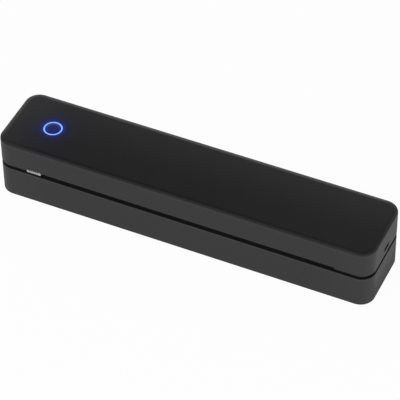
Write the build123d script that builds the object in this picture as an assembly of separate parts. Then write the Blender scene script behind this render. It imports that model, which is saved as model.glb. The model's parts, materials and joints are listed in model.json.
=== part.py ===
from build123d import *
from math import acos, cos, pi, radians, sin, sqrt, tan
import os

# Portable A4 thermal printer, in millimetres.
# The origin is on the surface it stands on, under the middle of the case.
# +X runs along the case to the end with the charging socket, the paper leaves at the front, -Y,
# and the cover turns on hinges at the rear, +Y.

# ------------------------------------------------------------------ case
LENGTH = 310.0               # left end to right end
DEPTH = 62.5                 # front face to rear face
HEIGHT = 53.0                # feet to top face
CORNER_RADIUS = 11.6         # upright corners, outside
TOP_EDGE_RADIUS = 2.0        # round between top face and sides
BOTTOM_EDGE_RADIUS = 0.8
WALL = 2.2
FLOOR = 2.2                  # bottom plate of the lower casing
ROOF = 2.2                   # top plate of the cover
FOOT_PROUD = 0.3             # how far the rubber feet stand out
FOOT_SUNK = 1.2              # how deep they sit in the floor
FOOT_SIZE = (14.0, 6.0)
FOOT_FROM_END = 29.0
FOOT_FROM_SIDE = 8.0

# ------------------------------------------------------------------ parting line and paper slots
BASE_RIM = 27.3              # rim of the lower casing
PARTING_GAP = 3.4            # open gap between the two shells
SLOT_HEIGHT = 4.6            # paper outlet in the front
SLOT_FROM_LEFT = 25.3        # left end of the case to the outlet
SLOT_FROM_RIGHT = 28.6
PAPER_RISE = 2.2             # paper above the lower rim
PAPER_RIB_PITCH = 18.0
PAPER_RIB_WIDTH = 1.0
PAPER_RIB_RISE = 0.5
PAPER_RIB_SLOPE = 1.0        # run of a rib's sloped ends
WINDOW_MARGIN = 1.0          # windows round the roller, its gears and the head

# ------------------------------------------------------------------ fits
GAP = 0.3                    # between pieces that move past each other
SLIP = 0.05                  # shaft in its bore, on the radius
OVER = 1.0                   # how far a cutting tool runs past what it cuts
ROOT = 0.5                   # how deep a boss or rib is rooted in its wall

# ------------------------------------------------------------------ cover hinge
HINGE_RADIUS = 3.0
HINGE_PIN_RADIUS = 1.2
HINGE_RISE = 1.8             # hinge axis above the lower rim
KNUCKLE_WIDTH = 7.5
KNUCKLE_FROM_END = 12.5      # outer end of each hinge to the end of the case
KNUCKLE_ROOT = 5.0           # how far a knuckle runs up or down its wall
SWING_GAP = 0.7              # air round the hinge for the swinging rims

# ------------------------------------------------------------------ rubber roller
PLATEN_RADIUS = 7.0
PLATEN_FROM_FRONT = 0.404 * DEPTH    # roller axis to the front face
PLATEN_FROM_SLOT_LEFT = 24.7
PLATEN_FROM_SLOT_RIGHT = 13.4
PLATEN_CORE_RADIUS = 3.0
PLATEN_CORE_PROUD = 1.0      # core past the rubber, each end
JOURNAL_RADIUS = 2.0
BUSH_RADIUS = 4.0
BUSH_FLANGE_RADIUS = 5.2
BUSH_FLANGE = 1.0
CLIP_RADIUS = 4.0
CLIP_WIDTH = 0.8
CLIP_GROOVE = 0.4
SHAFT_PAST_CLIP = 1.0

# ------------------------------------------------------------------ chassis of the roller
SHEET = 1.2                  # steel sheet of chassis and bracket
CHASSIS_SIDE_GAP = 1.8       # rubber to side plate
CHASSIS_HALF_DEPTH = 0.112 * DEPTH   # floor strip, each side of the roller axis
CHASSIS_HEADROOM = 0.6       # plate top under the lower rim
CHASSIS_SCREW_FROM_PLATE = 7.0
CHASSIS_SCREW_MARGIN = 1.0   # screw head to the strip's edge
RIGHT_PLATE_STEP = 0.5       # right plate past the strip's rear edge

# ------------------------------------------------------------------ gear train
GEAR_MODULE = DEPTH / 125
PRESSURE_ANGLE = 20.0
BACKLASH = 0.16              # share of a tooth taken off its thickness
ADDENDUM = 0.9               # tooth over the pitch circle, in modules
DEDENDUM = 1.2               # tooth root under the pitch circle, in modules
SAME_POINT = 0.001
PLATEN_TEETH = 28
IDLER_SMALL_TEETH = 14
IDLER_LARGE_TEETH = 36
PINION_TEETH = 12
GEAR_WIDTH = 3.0
GEAR_AIR = 0.5               # between the two gear planes
IDLER_ANGLE = -30.0          # from the roller axis, degrees above +Y
MOTOR_ANGLE = -17.0          # from the idler axis
IDLER_PIN_RADIUS = 1.5
HUB_WALL = 1.0               # idler's hub and its pin's head, over the pin
MOTOR_SHAFT_RADIUS = 1.0

# ------------------------------------------------------------------ feed motor
MOTOR_DEPTH = 0.32 * DEPTH
MOTOR_OVER_FLOOR = 0.64
MOTOR_LENGTH = 25.0
MOTOR_CHAMFER = 3.0
MOTOR_FLANGE = 1.0
MOTOR_FLANGE_STEP = 1.0      # can over the round of its flange
MOTOR_REAR_BOSS = 1.0
MOTOR_EAR_REACH = 0.224 * DEPTH      # shaft to the tip of an ear
MOTOR_EAR_HALF_HEIGHT = 3.0
MOTOR_SCREW_REACH = 0.192 * DEPTH
MOTOR_BOSS_RADIUS = 4.0
ROTOR_RADIUS = 5.5
ROTOR_LENGTH = 14.0
ROTOR_AIR = 0.4              # rotor to the can
ROTOR_FROM_PLATE = 5.0

# ------------------------------------------------------------------ battery
CELL_RADIUS = 4.6 + 0.0736 * DEPTH
CELL_LENGTH = 65.0
CELL_AIR = 2.0               # between the two cells
CELL_CAP_RADIUS = 5.0
CELL_CAP = 0.8
CELL_TO_REAR_WALL = 0.0616 * DEPTH
CRADLE_RIB = 1.6
CRADLE_RIBS_PER_CELL = 2
CRADLE_HALF_DEPTH = 7.0
CRADLE_WRAP = 3.0            # how far the cradle stays under the cell axis
STRAP = 1.3
STRAP_WIDTH = 8.0
STRAP_TOE = 0.0384 * DEPTH
CELL_BOARD_DROP = 1.0        # protection board under the cells' top
CELL_CHIP = 1.0              # height of the chip on it

# ------------------------------------------------------------------ deck that carries the paper
DECK = 1.8
DECK_FALL_FRONT = 0.2        # deck under the rim at the outlet
DECK_RISE_MIDDLE = 1.5       # deck over the rim beside the roller
DECK_RISE_REAR = 1.0
DECK_WINDOW_FRONT = 8.2      # roller axis to the window edges
DECK_WINDOW_REAR = 8.2
DECK_BEND = 0.288 * DEPTH    # roller axis to the bend behind it
DECK_FROM_CASE = 4.1         # case face to the deck, leaves room for the cover's skirt
GEAR_WINDOW_REAR = 15.0
SENSOR_SIZE = (7.0, 5.0, 3.6)
SENSOR_AHEAD = 0.208 * DEPTH         # sensor to roller axis
SENSOR_LENS_RADIUS = 1.2

# ------------------------------------------------------------------ screws
SCREW_RADIUS = 1.15
SCREW_HEAD_RADIUS = 2.1
SCREW_HEAD = 1.3
SCREW_LENGTH = 8.0
BOSS_RADIUS = 3.0
PILLAR_RADIUS = 3.4
PILLAR_TOP = 12.0
PILLAR_WEB = 3.0             # plastic between screw head and pillar top
PILLAR_FROM_END = 15.0
PILLAR_FROM_SIDE = 13.5
MIDDLE_PILLARS = (-45.0, 45.0)
MIDDLE_PILLAR_FROM_FRONT = 9.7
PILLAR_BESIDE_BATTERY = 8.0
PILLAR_BESIDE_MOTOR = 3.8
SMALL_SCREW_RADIUS = 0.9
SMALL_SCREW_HEAD_RADIUS = 1.7
SMALL_SCREW_HEAD = 1.0

# ------------------------------------------------------------------ inner frame of the cover
LINER = 1.5
LINER_RISE = 0.4             # liner over the cover's rim
SKIRT = 1.2
SKIRT_DEPTH = 4.9
LINER_WINDOW_FRONT = 11.5    # roller axis to the window edges
LINER_WINDOW_REAR = 0.28 * DEPTH
LINER_TO_FRONT = 5.85        # front face to the liner behind the outlet
LINER_BOSS = 1.6
LINER_BOSS_WALL = 0.5        # liner's bosses round the cover's
COVER_BOSS_FROM_END = 9.5
COVER_BOSS_FROM_SIDE = 11.25
FRONT_BOSSES = (-30.0, 50.0)
FRONT_BOSS_FROM_FRONT = 9.95
REAR_BOSSES = (-80.0,)
ROOF_RIB = 1.4
ROOF_RIB_FROM_RING = 3.0
ROOF_RIB_DEPTH = 2.6
ROOF_RIB_PITCH = 42.0

# ------------------------------------------------------------------ print head
NIP = 0.25                   # head over the roller
CERAMIC = 0.8
GLAZE_RISE = 0.85            # heater line under the ceramic
GLAZE_HALF_WIDTH = 1.3
GLAZE_SIDES = 6              # flats in the round of the heater line
DRIVER_COVER_SLOPE = 1.0
CERAMIC_AHEAD = 6.5
CERAMIC_BEHIND = 4.0
SINK_BASE = 2.0
SINK_AHEAD = 0.12 * DEPTH
SINK_BEHIND = 0.2 * DEPTH
SINK_SIDE = 1.0              # sink past the rubber, each end
FIN = 1.0
FIN_HEIGHT = 5.0
FIN_PITCH = 0.048 * DEPTH
FIN_COUNT = 5
HEAD_PIVOT_BEHIND = 0.208 * DEPTH    # pivot to roller axis
HEAD_PIVOT_RISE = 7.35       # pivot over the heater line
PIVOT_RADIUS = 1.5
PIVOT_BOSS_RADIUS = 3.0
PIVOT_BOSS_PROUD = 1.0       # boss past the sink, each end
PIVOT_PROUD = 2.0            # rod past the bracket, each end
PIVOT_CLIP_WALL = 1.0
BRACKET_AIR = 0.3            # sink to bracket end plate
BRACKET_TOP_GAP = 4.1        # bracket to the cover's roof
BRACKET_AHEAD = 7.0
BRACKET_BEHIND = 0.264 * DEPTH
BRACKET_SCREW_INSET = 14.0
SPRING_PLACES = (-55.0, 55.0)
SPRING_RADIUS = 2.6
SPRING_WIRE = 0.4
WIRE_SIDES = 6
SPRING_TURNS = 5
SPRING_AHEAD = 2.0
SPRING_POCKET = 3.8

# ------------------------------------------------------------------ lock
LOCK_TRAVEL = 2.0
SLIDER_LENGTH = 12.6
SLIDER_HEIGHT = 2.5
SLIDER_DEPTH = 2.6
SLIDER_SUNK = 0.3            # behind the front face
SLIDER_RIB_PITCH = 1.05
SLIDER_GROOVE = 0.35
SLIDER_STEM = 6.0
LOCK_BAR = 1.2               # sheet of the hooked bar
LOCK_BAR_HEIGHT = 4.0
LOCK_BAR_BEHIND = 2.05       # inner front wall to the bar
LOCK_BAR_RISE = 0.5          # bar over the liner
HOOK_STEM = 2.6
HOOK_REACH = 2.3
HOOK_THICK = 1.6
HOOK_FROM_SLOT = 2.2         # end of the outlet to the hook
CATCH_LENGTH = 4.0
CATCH_THICK = 1.4
CATCH_UNDER_RIM = 1.8
GUIDE_WIDTH = 5.0
GUIDE_THICK = 1.5
GUIDE_LIP = 0.9
GUIDE_PLACES = (-95.0, -5.0, 95.0)

# ------------------------------------------------------------------ power button
BUTTON_FROM_LEFT = 34.8
BUTTON_FROM_FRONT = 29.9
BUTTON_RADIUS = 6.05
BUTTON_SKIN = 1.4
BUTTON_FLANGE_RADIUS = 7.2
BUTTON_FLANGE = 1.0
BUTTON_STEM_RADIUS = 1.6
BUTTON_TRAVEL = 0.5
RING_INNER_RADIUS = 6.25
RING_OUTER_RADIUS = 7.45
RING_FLANGE_RADIUS = 8.85
RING_FLANGE = 1.3
SWITCH_SIZE = 6.0
SWITCH_HEIGHT = 2.1
PLUNGER_RADIUS = 1.7
PLUNGER_HEIGHT = 0.5

# ------------------------------------------------------------------ boards and charging socket
BOARD = 1.6
BUTTON_BOARD_SIZE = (23.0, 21.0)
BUTTON_POST_RADIUS = 1.5
BUTTON_SCREW_RADIUS = 0.45
BUTTON_SCREW_HEAD = 0.5
BUTTON_SCREW_GRIP = 3.1      # length of its screws in the posts
BOARD_PAD_RADIUS = 1.5
BOARD_PAD_INSET = 3.0        # board's edges to its pads
MAIN_BOARD_LENGTH = 170.0
MAIN_BOARD_BEHIND_BRACKET = 2.25
MAIN_BOARD_FROM_SLOT_RIGHT = 16.4
MAIN_BOARD_RISE = 1.6
MAIN_BOARD_TO_HINGE = 0.5    # board's rear edge to the hinge axis
CHIPS = [                    # centre, length, depth as shares of the board, and height
    (0.11, 0.08, 0.33, 5.5),
    (0.32, 0.05, 0.53, 4.0),
    (0.44, 0.06, 0.67, 1.2),
    (0.57, 0.03, 0.40, 1.5),
    (0.63, 0.03, 0.40, 1.5),
    (0.69, 0.03, 0.40, 1.5),
    (0.82, 0.14, 0.27, 2.5),
]
CAPACITOR_RADIUS = 3.0
CAPACITOR_PLACES = (0.20, 0.247)
CAPACITOR_SHARE = 0.6        # of the room between the board and the roof's ribs
USB_BOARD_LENGTH = 21.0
USB_BOARD_DEPTH = 21.0
USB_BOARD_RISE = 0.5
USB_BOARD_FROM_WALL = 1.0
USB_WIDTH = 9.0
USB_HEIGHT = 3.2
USB_DEPTH = 7.4
USB_SHEET = 0.35
USB_BACK = 1.0               # closed back of the shell
USB_TONGUE_SUNK = 1.0
USB_FROM_REAR = 30.75
USB_SUNK = 0.4               # behind the end face
USB_MARGIN = 0.3
USB_TONGUE = (6.6, 0.7)

# ------------------------------------------------------------------ places worked out from the sizes
left, right = -LENGTH / 2, LENGTH / 2
front, rear = -DEPTH / 2, DEPTH / 2
wide = (left - OVER, right + OVER)
inner_left, inner_right = left + WALL, right - WALL
inner_front, inner_rear = front + WALL, rear - WALL

floor_top = FOOT_PROUD + FLOOR
cover_rim = BASE_RIM + PARTING_GAP
slot_top = BASE_RIM + SLOT_HEIGHT
roof_under = HEIGHT - ROOF
slot = (left + SLOT_FROM_LEFT, right - SLOT_FROM_RIGHT)

hinge_y = rear - HINGE_RADIUS
hinge_z = BASE_RIM + HINGE_RISE
rear_rim = hinge_z - HINGE_RADIUS - SWING_GAP

paper_z = BASE_RIM + PAPER_RISE
platen_y = front + PLATEN_FROM_FRONT
platen_z = paper_z - PLATEN_RADIUS
platen = (slot[0] + PLATEN_FROM_SLOT_LEFT, slot[1] - PLATEN_FROM_SLOT_RIGHT)
plate_left = (platen[0] - CHASSIS_SIDE_GAP - SHEET, platen[0] - CHASSIS_SIDE_GAP)
plate_right = (platen[1] + CHASSIS_SIDE_GAP, platen[1] + CHASSIS_SIDE_GAP + SHEET)

# two gear planes, outside the left plate: near and far
bush_face = plate_left[0] - BUSH_FLANGE
near_gear = (bush_face - GAP / 2 - GEAR_WIDTH, bush_face - GAP / 2)
far_gear = (near_gear[0] - GEAR_AIR - GEAR_WIDTH, near_gear[0] - GEAR_AIR)


def step_away(start, teeth, angle):
    """Axis of a gear whose mesh has this many teeth in all, seen from start at the angle."""
    reach = GEAR_MODULE * teeth / 2
    return (start[0] + reach * cos(radians(angle)), start[1] + reach * sin(radians(angle)))


idler_y, idler_z = step_away((platen_y, platen_z), PLATEN_TEETH + IDLER_SMALL_TEETH, IDLER_ANGLE)
motor_y, motor_z = step_away((idler_y, idler_z), IDLER_LARGE_TEETH + PINION_TEETH, MOTOR_ANGLE)

battery_y = inner_rear - CELL_TO_REAR_WALL - CELL_RADIUS
battery_z = floor_top + GAP + CELL_RADIUS
motor_flange = (plate_left[1], plate_left[1] + MOTOR_FLANGE)
motor_can = (motor_flange[1], motor_flange[1] + MOTOR_LENGTH)
motor_socket = (motor_can[1], motor_can[1] + MOTOR_CHAMFER)
motor_half_height = motor_z - floor_top - MOTOR_OVER_FLOOR
rotor = (plate_left[1] + ROTOR_FROM_PLATE, plate_left[1] + ROTOR_FROM_PLATE + ROTOR_LENGTH)
motor_pillar = motor_socket[1] + PILLAR_BESIDE_MOTOR
battery_start = motor_pillar + PILLAR_BESIDE_BATTERY
cells = [
    (battery_start, battery_start + CELL_LENGTH),
    (battery_start + CELL_LENGTH + CELL_AIR, battery_start + 2 * CELL_LENGTH + CELL_AIR),
]
battery_pillar = cells[1][1] + 2 * PILLAR_BESIDE_BATTERY

liner_under = cover_rim + LINER_RISE
liner_top = liner_under + LINER
liner_front = front + LINER_TO_FRONT
liner_inset = WALL + GAP
skirt_foot = liner_under - SKIRT_DEPTH

head_z = paper_z + NIP
ceramic_under = head_z + GLAZE_RISE
sink_under = ceramic_under + CERAMIC
sink_top = sink_under + SINK_BASE
pivot_y = platen_y + HEAD_PIVOT_BEHIND
pivot_z = head_z + HEAD_PIVOT_RISE
sink = (platen[0] - SINK_SIDE, platen[1] + SINK_SIDE)
sink_boss = (sink[0] - PIVOT_BOSS_PROUD, sink[1] + PIVOT_BOSS_PROUD)
bracket = (sink_boss[0] - BRACKET_AIR - SHEET, sink_boss[1] + BRACKET_AIR + SHEET)
bracket_top = roof_under - BRACKET_TOP_GAP
spring_y = platen_y - SPRING_AHEAD

lock_y = (inner_front + LOCK_BAR_BEHIND, inner_front + LOCK_BAR_BEHIND + LOCK_BAR)
lock_z = (liner_top + LOCK_BAR_RISE, liner_top + LOCK_BAR_RISE + LOCK_BAR_HEIGHT)
catch_top = BASE_RIM - CATCH_UNDER_RIM
hook_top = catch_top - CATCH_THICK - GAP
hook_foot = hook_top - HOOK_THICK
left_hook = slot[0] - HOOK_FROM_SLOT - HOOK_REACH - HOOK_STEM
right_hook = slot[1] + HOOK_FROM_SLOT
slider = (slot[0] + GAP, slot[0] + GAP + SLIDER_LENGTH)
slider_z = (slot_top - GAP - SLIDER_HEIGHT, slot_top - GAP)

button_x = left + BUTTON_FROM_LEFT
button_y = front + BUTTON_FROM_FRONT
ring_foot = roof_under - RING_FLANGE
flange_top = ring_foot - GAP
flange_foot = flange_top - BUTTON_FLANGE
stem_foot = flange_foot
plunger_top = stem_foot - BUTTON_TRAVEL - GAP
button_board_top = plunger_top - PLUNGER_HEIGHT - SWITCH_HEIGHT
button_board_x = (button_x - BUTTON_BOARD_SIZE[0] / 2, button_x + BUTTON_BOARD_SIZE[0] / 2)
button_board_y = (button_y - BUTTON_BOARD_SIZE[1] / 2, button_y + BUTTON_BOARD_SIZE[1] / 2)

main_board_right = slot[1] - MAIN_BOARD_FROM_SLOT_RIGHT
main_board_x = (main_board_right - MAIN_BOARD_LENGTH, main_board_right)
main_board_y = (platen_y + BRACKET_BEHIND + MAIN_BOARD_BEHIND_BRACKET, hinge_y - MAIN_BOARD_TO_HINGE)
main_board_z = (liner_top + MAIN_BOARD_RISE, liner_top + MAIN_BOARD_RISE + BOARD)

usb_y = rear - USB_FROM_REAR
usb_board_z = (liner_top + USB_BOARD_RISE, liner_top + USB_BOARD_RISE + BOARD)
usb_z = usb_board_z[1] + USB_HEIGHT / 2
usb_mouth = right - USB_SUNK
usb_board_right = inner_right - USB_BOARD_FROM_WALL
usb_board_x = (usb_board_right - USB_BOARD_LENGTH, usb_board_right)
usb_board_y = (usb_y - USB_BOARD_DEPTH / 2, usb_y + USB_BOARD_DEPTH / 2)


# ------------------------------------------------------------------ basic solids
def block(x, y, z):
    """Box between three pairs of limits."""
    corner = (Align.MIN, Align.MIN, Align.MIN)
    return Pos(x[0], y[0], z[0]) * Box(x[1] - x[0], y[1] - y[0], z[1] - z[0], align=corner)


def rod_x(radius, x, y, z):
    """Cylinder along X between two limits."""
    bottom = (Align.CENTER, Align.CENTER, Align.MIN)
    return Pos(x[0], y, z) * Rot(0, 90, 0) * Cylinder(radius, x[1] - x[0], align=bottom)


def rod_z(radius, x, y, z):
    """Upright cylinder between two heights."""
    bottom = (Align.CENTER, Align.CENTER, Align.MIN)
    return Pos(x, y, z[0]) * Cylinder(radius, z[1] - z[0], align=bottom)


def slab(inset, z):
    """Plate with the case's rounded plan, moved inwards by the inset."""
    plan = RectangleRounded(LENGTH - 2 * inset, DEPTH - 2 * inset, CORNER_RADIUS - inset)
    return Pos(0, 0, z[0]) * extrude(plan, amount=z[1] - z[0])


def along_x(outline, x):
    """Solid with a (y, z) outline, from one end to the other along X."""
    face = Plane.YZ.offset(x[0]) * Polygon(*outline, align=None)
    return extrude(face, amount=x[1] - x[0], dir=(1, 0, 0))


def spread(start, stop, pitch):
    """Evenly spaced places about the middle of a stretch."""
    count = int((stop - start) // pitch)
    first = (start + stop - count * pitch) / 2
    return [first + pitch * step for step in range(count + 1)]


def screw(x, y, head, length, radius=SCREW_RADIUS, head_radius=SCREW_HEAD_RADIUS, thick=SCREW_HEAD):
    """Screw driven upwards, with the seat of its head at the given height."""
    return rod_z(head_radius, x, y, (head - thick, head)) + rod_z(radius, x, y, (head, head + length))


def small_screw_down(x, y, seat, length):
    """Small screw driven downwards onto its seat."""
    head = rod_z(SMALL_SCREW_HEAD_RADIUS, x, y, (seat, seat + SMALL_SCREW_HEAD))
    return head + rod_z(SMALL_SCREW_RADIUS, x, y, (seat - length, seat))


def hinge_spans(outer):
    """X limits of the outer knuckles, on the base, or of the inner ones, on the cover."""
    far = right - KNUCKLE_FROM_END
    if not outer:
        far -= KNUCKLE_WIDTH + GAP
    near = far - KNUCKLE_WIDTH
    return [(-far, -near), (near, far)]


def knuckle(span, z, bore):
    """Hinge barrel flush with the rear face, with the web that roots it in its wall."""
    barrel = rod_x(HINGE_RADIUS, span, hinge_y, hinge_z)
    barrel += block(span, (hinge_y - HINGE_RADIUS, rear), z)
    return barrel - rod_x(bore, (span[0] - OVER, span[1] + OVER), hinge_y, hinge_z)


# ------------------------------------------------------------------ gears
def involute(angle):
    return tan(angle) - angle


def gear(teeth, x, y, z, tooth_at):
    """Spur gear along X with involute flanks and one tooth centred at the given angle."""
    pitch_radius = GEAR_MODULE * teeth / 2
    base_radius = pitch_radius * cos(radians(PRESSURE_ANGLE))
    tip_radius = pitch_radius + ADDENDUM * GEAR_MODULE
    root_radius = pitch_radius - DEDENDUM * GEAR_MODULE
    half_pitch_tooth = pi / (2 * teeth) * (1 - BACKLASH)

    def half_tooth(radius):
        if radius <= base_radius:
            return half_pitch_tooth + involute(radians(PRESSURE_ANGLE))
        flank = involute(acos(base_radius / radius))
        return half_pitch_tooth + involute(radians(PRESSURE_ANGLE)) - flank

    flank_radii = [root_radius, max(base_radius, root_radius), pitch_radius, tip_radius]
    outline = []
    for tooth in range(teeth):
        centre = radians(tooth_at) + 2 * pi * tooth / teeth
        for radius in flank_radii:
            angle = centre - half_tooth(radius)
            outline.append((y + radius * cos(angle), z + radius * sin(angle)))
        for radius in reversed(flank_radii):
            angle = centre + half_tooth(radius)
            outline.append((y + radius * cos(angle), z + radius * sin(angle)))
    clean = [point for place, point in enumerate(outline) if dist(point, outline[place - 1]) > SAME_POINT]
    return along_x(clean, x)


def dist(first, second):
    return sqrt((first[0] - second[0]) ** 2 + (first[1] - second[1]) ** 2)


def gap_at(angle, teeth):
    """Tooth angle of a gear whose tooth gap faces back along the line of centres."""
    return angle + 180 + 180 / teeth


# ------------------------------------------------------------------ places of repeated fasteners
def pillar_places():
    """Screw pillars between the floor and the paper deck."""
    end, side = right - PILLAR_FROM_END, rear - PILLAR_FROM_SIDE
    places = [(x, y) for x in (-end, end) for y in (-side, side)]
    places += [(x, front + MIDDLE_PILLAR_FROM_FRONT) for x in MIDDLE_PILLARS]
    return places + [(motor_pillar, battery_y), (battery_pillar, battery_y)]


def liner_screw_places():
    """Screws between the cover and its inner frame."""
    end, side = right - COVER_BOSS_FROM_END, rear - COVER_BOSS_FROM_SIDE
    places = [(x, y) for x in (-end, end) for y in (-side, side)]
    places += [(x, front + FRONT_BOSS_FROM_FRONT) for x in FRONT_BOSSES]
    return places + [(x, rear - COVER_BOSS_FROM_SIDE) for x in REAR_BOSSES]


def bracket_screw_places():
    ends = (bracket[0] + BRACKET_SCREW_INSET, bracket[1] - BRACKET_SCREW_INSET)
    sides = (platen_y - BRACKET_AHEAD / 2, platen_y + BRACKET_BEHIND - BOSS_RADIUS)
    return [(x, y) for x in ends for y in sides]


def corners(x, y, inset):
    """The four corner places of a board."""
    return [(a, b) for a in (x[0] + inset, x[1] - inset) for b in (y[0] + inset, y[1] - inset)]


def foot_places():
    end, side = right - FOOT_FROM_END, rear - FOOT_FROM_SIDE
    return [(x, y) for x in (-end, end) for y in (-side, side)]


# ------------------------------------------------------------------ lower half
def lower_casing():
    """Bottom shell: rounded tub with hinge knuckles, screw pillars, cradles and catches."""
    shell = slab(0, (FOOT_PROUD, BASE_RIM))
    shell = fillet(shell.edges().group_by(Axis.Z)[0], BOTTOM_EDGE_RADIUS)
    shell -= slab(WALL, (floor_top, BASE_RIM + OVER))
    shell -= block(wide, (hinge_y - GAP, rear + OVER), (rear_rim, BASE_RIM + OVER))
    for span in hinge_spans(outer=True):
        shell += knuckle(span, (rear_rim - KNUCKLE_ROOT, hinge_z), HINGE_PIN_RADIUS)
    for x, y in pillar_places():
        shell += rod_z(PILLAR_RADIUS, x, y, (floor_top - ROOT, PILLAR_TOP))
    for x in cradle_places():
        rib = block((x, x + CRADLE_RIB), (battery_y - CRADLE_HALF_DEPTH, battery_y + CRADLE_HALF_DEPTH),
                    (floor_top - ROOT, battery_z - CRADLE_WRAP))
        shell += rib - rod_x(CELL_RADIUS, (x - OVER, x + CRADLE_RIB + OVER), battery_y, battery_z)
    for x in (left_hook, right_hook):
        shell += lock_catch(x)
    for x, y in pillar_places():
        shell -= rod_z(SCREW_HEAD_RADIUS + GAP, x, y, (0, PILLAR_TOP - PILLAR_WEB))
        shell -= rod_z(SCREW_RADIUS, x, y, (0, PILLAR_TOP + OVER))
    for x, y in foot_places():
        shell -= foot(x, y)
    for x, y in chassis_screw_places():
        shell -= rod_z(SMALL_SCREW_RADIUS, x, y, (floor_top - SHEET, floor_top + OVER))
    return shell


def cradle_places():
    """Left faces of the cradle ribs, shared out under each cell."""
    step = CELL_LENGTH / CRADLE_RIBS_PER_CELL
    first = step / 2 - CRADLE_RIB / 2
    return [cell[0] + first + step * rib for cell in cells for rib in range(CRADLE_RIBS_PER_CELL)]


def lock_catch(hook):
    """Ledge inside the front wall that a hook slides under."""
    start = hook + HOOK_STEM + HOOK_REACH + GAP
    return block((start, start + CATCH_LENGTH), (inner_front - ROOT, lock_y[1] + GAP),
                 (catch_top - CATCH_THICK, catch_top))


def foot(x, y):
    """Oblong rubber pad, partly sunk in the floor."""
    pad = SlotOverall(FOOT_SIZE[0], FOOT_SIZE[1])
    return Pos(x, y, 0) * extrude(pad, amount=FOOT_PROUD + FOOT_SUNK)


def rubber_feet():
    return Compound(children=[foot(x, y) for x, y in foot_places()])


def deck_top(y):
    """Height of the deck's upper face along its depth."""
    points = deck_line()
    for (y0, z0), (y1, z1) in zip(points, points[1:]):
        if y <= y1:
            return z0 + (z1 - z0) * (y - y0) / (y1 - y0)
    return points[-1][1]


def deck_line():
    """Upper face of the deck from the outlet, over the roller, to the inlet."""
    return [
        (inner_front + GAP, BASE_RIM - DECK_FALL_FRONT),
        (platen_y - DECK_WINDOW_FRONT, BASE_RIM + DECK_RISE_MIDDLE),
        (platen_y + DECK_WINDOW_REAR, BASE_RIM + DECK_RISE_MIDDLE),
        (platen_y + DECK_BEND, BASE_RIM + DECK_RISE_REAR),
        (inner_rear - GAP, rear_rim - DECK_FALL_FRONT),
    ]


def deck_plate(x, rise=0.0):
    """Stretch of the deck between two X limits, thicker by the rise."""
    line = deck_line()
    upper = [(y, z + rise * (0 < place < len(line) - 1)) for place, (y, z) in enumerate(line)]
    return along_x(upper + [(y, z - DECK) for y, z in reversed(line)], x)


def deck_plan():
    """Upright block with the deck's plan: within the skirt, reaching to the slots."""
    height = (floor_top, cover_rim)
    plan = slab(DECK_FROM_CASE, height)
    plan += block((slot[0] + GAP, slot[1] - GAP), (inner_front + GAP, 0), height)
    hinges = hinge_spans(outer=False)
    plan += block((hinges[0][1] + GAP, hinges[1][0] - GAP), (0, inner_rear - GAP), height)
    for inner, outer in zip(hinge_spans(outer=False), hinge_spans(outer=True)):
        span = (min(inner[0], outer[0]) - SWING_GAP, max(inner[1], outer[1]) + SWING_GAP)
        plan -= block(span, (hinge_y - HINGE_RADIUS - SWING_GAP, rear), height)
    for hook in (left_hook, right_hook):
        reach = (hook - SWING_GAP, hook + HOOK_STEM + HOOK_REACH + GAP + CATCH_LENGTH + SWING_GAP)
        plan -= block(reach, (front, lock_y[1] + SWING_GAP), height)
    return plan


def deck_windows():
    """Openings for the roller with its side plates, and for the gears."""
    height = (floor_top, cover_rim)
    roller = (far_gear[0] - WINDOW_MARGIN, clip_span()[1] + SHAFT_PAST_CLIP + WINDOW_MARGIN)
    window = block(roller, (platen_y - DECK_WINDOW_FRONT, platen_y + DECK_WINDOW_REAR), height)
    gears = (far_gear[0] - WINDOW_MARGIN, plate_left[1] + GAP)
    return window + block(gears, (platen_y - DECK_WINDOW_FRONT, platen_y + GEAR_WINDOW_REAR), height)


def paper_deck():
    """Ribbed deck under the paper, standing on bosses over the screw pillars."""
    inside = (left + DECK_FROM_CASE, right - DECK_FROM_CASE)
    deck = deck_plate(inside)
    for x in spread(platen[0], platen[1], PAPER_RIB_PITCH):
        deck += deck_plate((x - PAPER_RIB_WIDTH / 2, x + PAPER_RIB_WIDTH / 2), PAPER_RIB_RISE)
    deck = (deck & deck_plan()) - deck_windows()
    for x, y in pillar_places():
        deck += rod_z(BOSS_RADIUS, x, y, (PILLAR_TOP, deck_top(y) - DECK / 2))
        deck -= rod_z(SCREW_RADIUS, x, y, (PILLAR_TOP - OVER, PILLAR_TOP + SCREW_LENGTH - PILLAR_WEB))
    sensor = sensor_place()
    return deck - rod_z(SENSOR_LENS_RADIUS + GAP, sensor[0], sensor[1], (floor_top, cover_rim))


def base_screws():
    seat = PILLAR_TOP - PILLAR_WEB
    return Compound(children=[screw(x, y, seat, SCREW_LENGTH) for x, y in pillar_places()])


def sensor_place():
    return ((platen[0] + platen[1]) / 2, platen_y - SENSOR_AHEAD)


def paper_sensor():
    """Reflective sensor hung under the deck, its lens in a hole of the deck."""
    x, y = sensor_place()
    length, depth, height = SENSOR_SIZE
    under = deck_top(y - depth / 2) - DECK
    body = block((x - length / 2, x + length / 2), (y - depth / 2, y + depth / 2), (under - height, under))
    return body + rod_z(SENSOR_LENS_RADIUS, x, y, (under - height / 2, deck_top(y) - GAP))


def hinge_pins():
    """Steel pins pressed into the base knuckles and running in the cover's."""
    pins = []
    for inner, outer in zip(hinge_spans(outer=False), hinge_spans(outer=True)):
        ends = (min(inner[0], outer[0]) + GAP, max(inner[1], outer[1]) - GAP)
        pins.append(rod_x(HINGE_PIN_RADIUS, ends, hinge_y, hinge_z))
    return Compound(children=pins)


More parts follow.
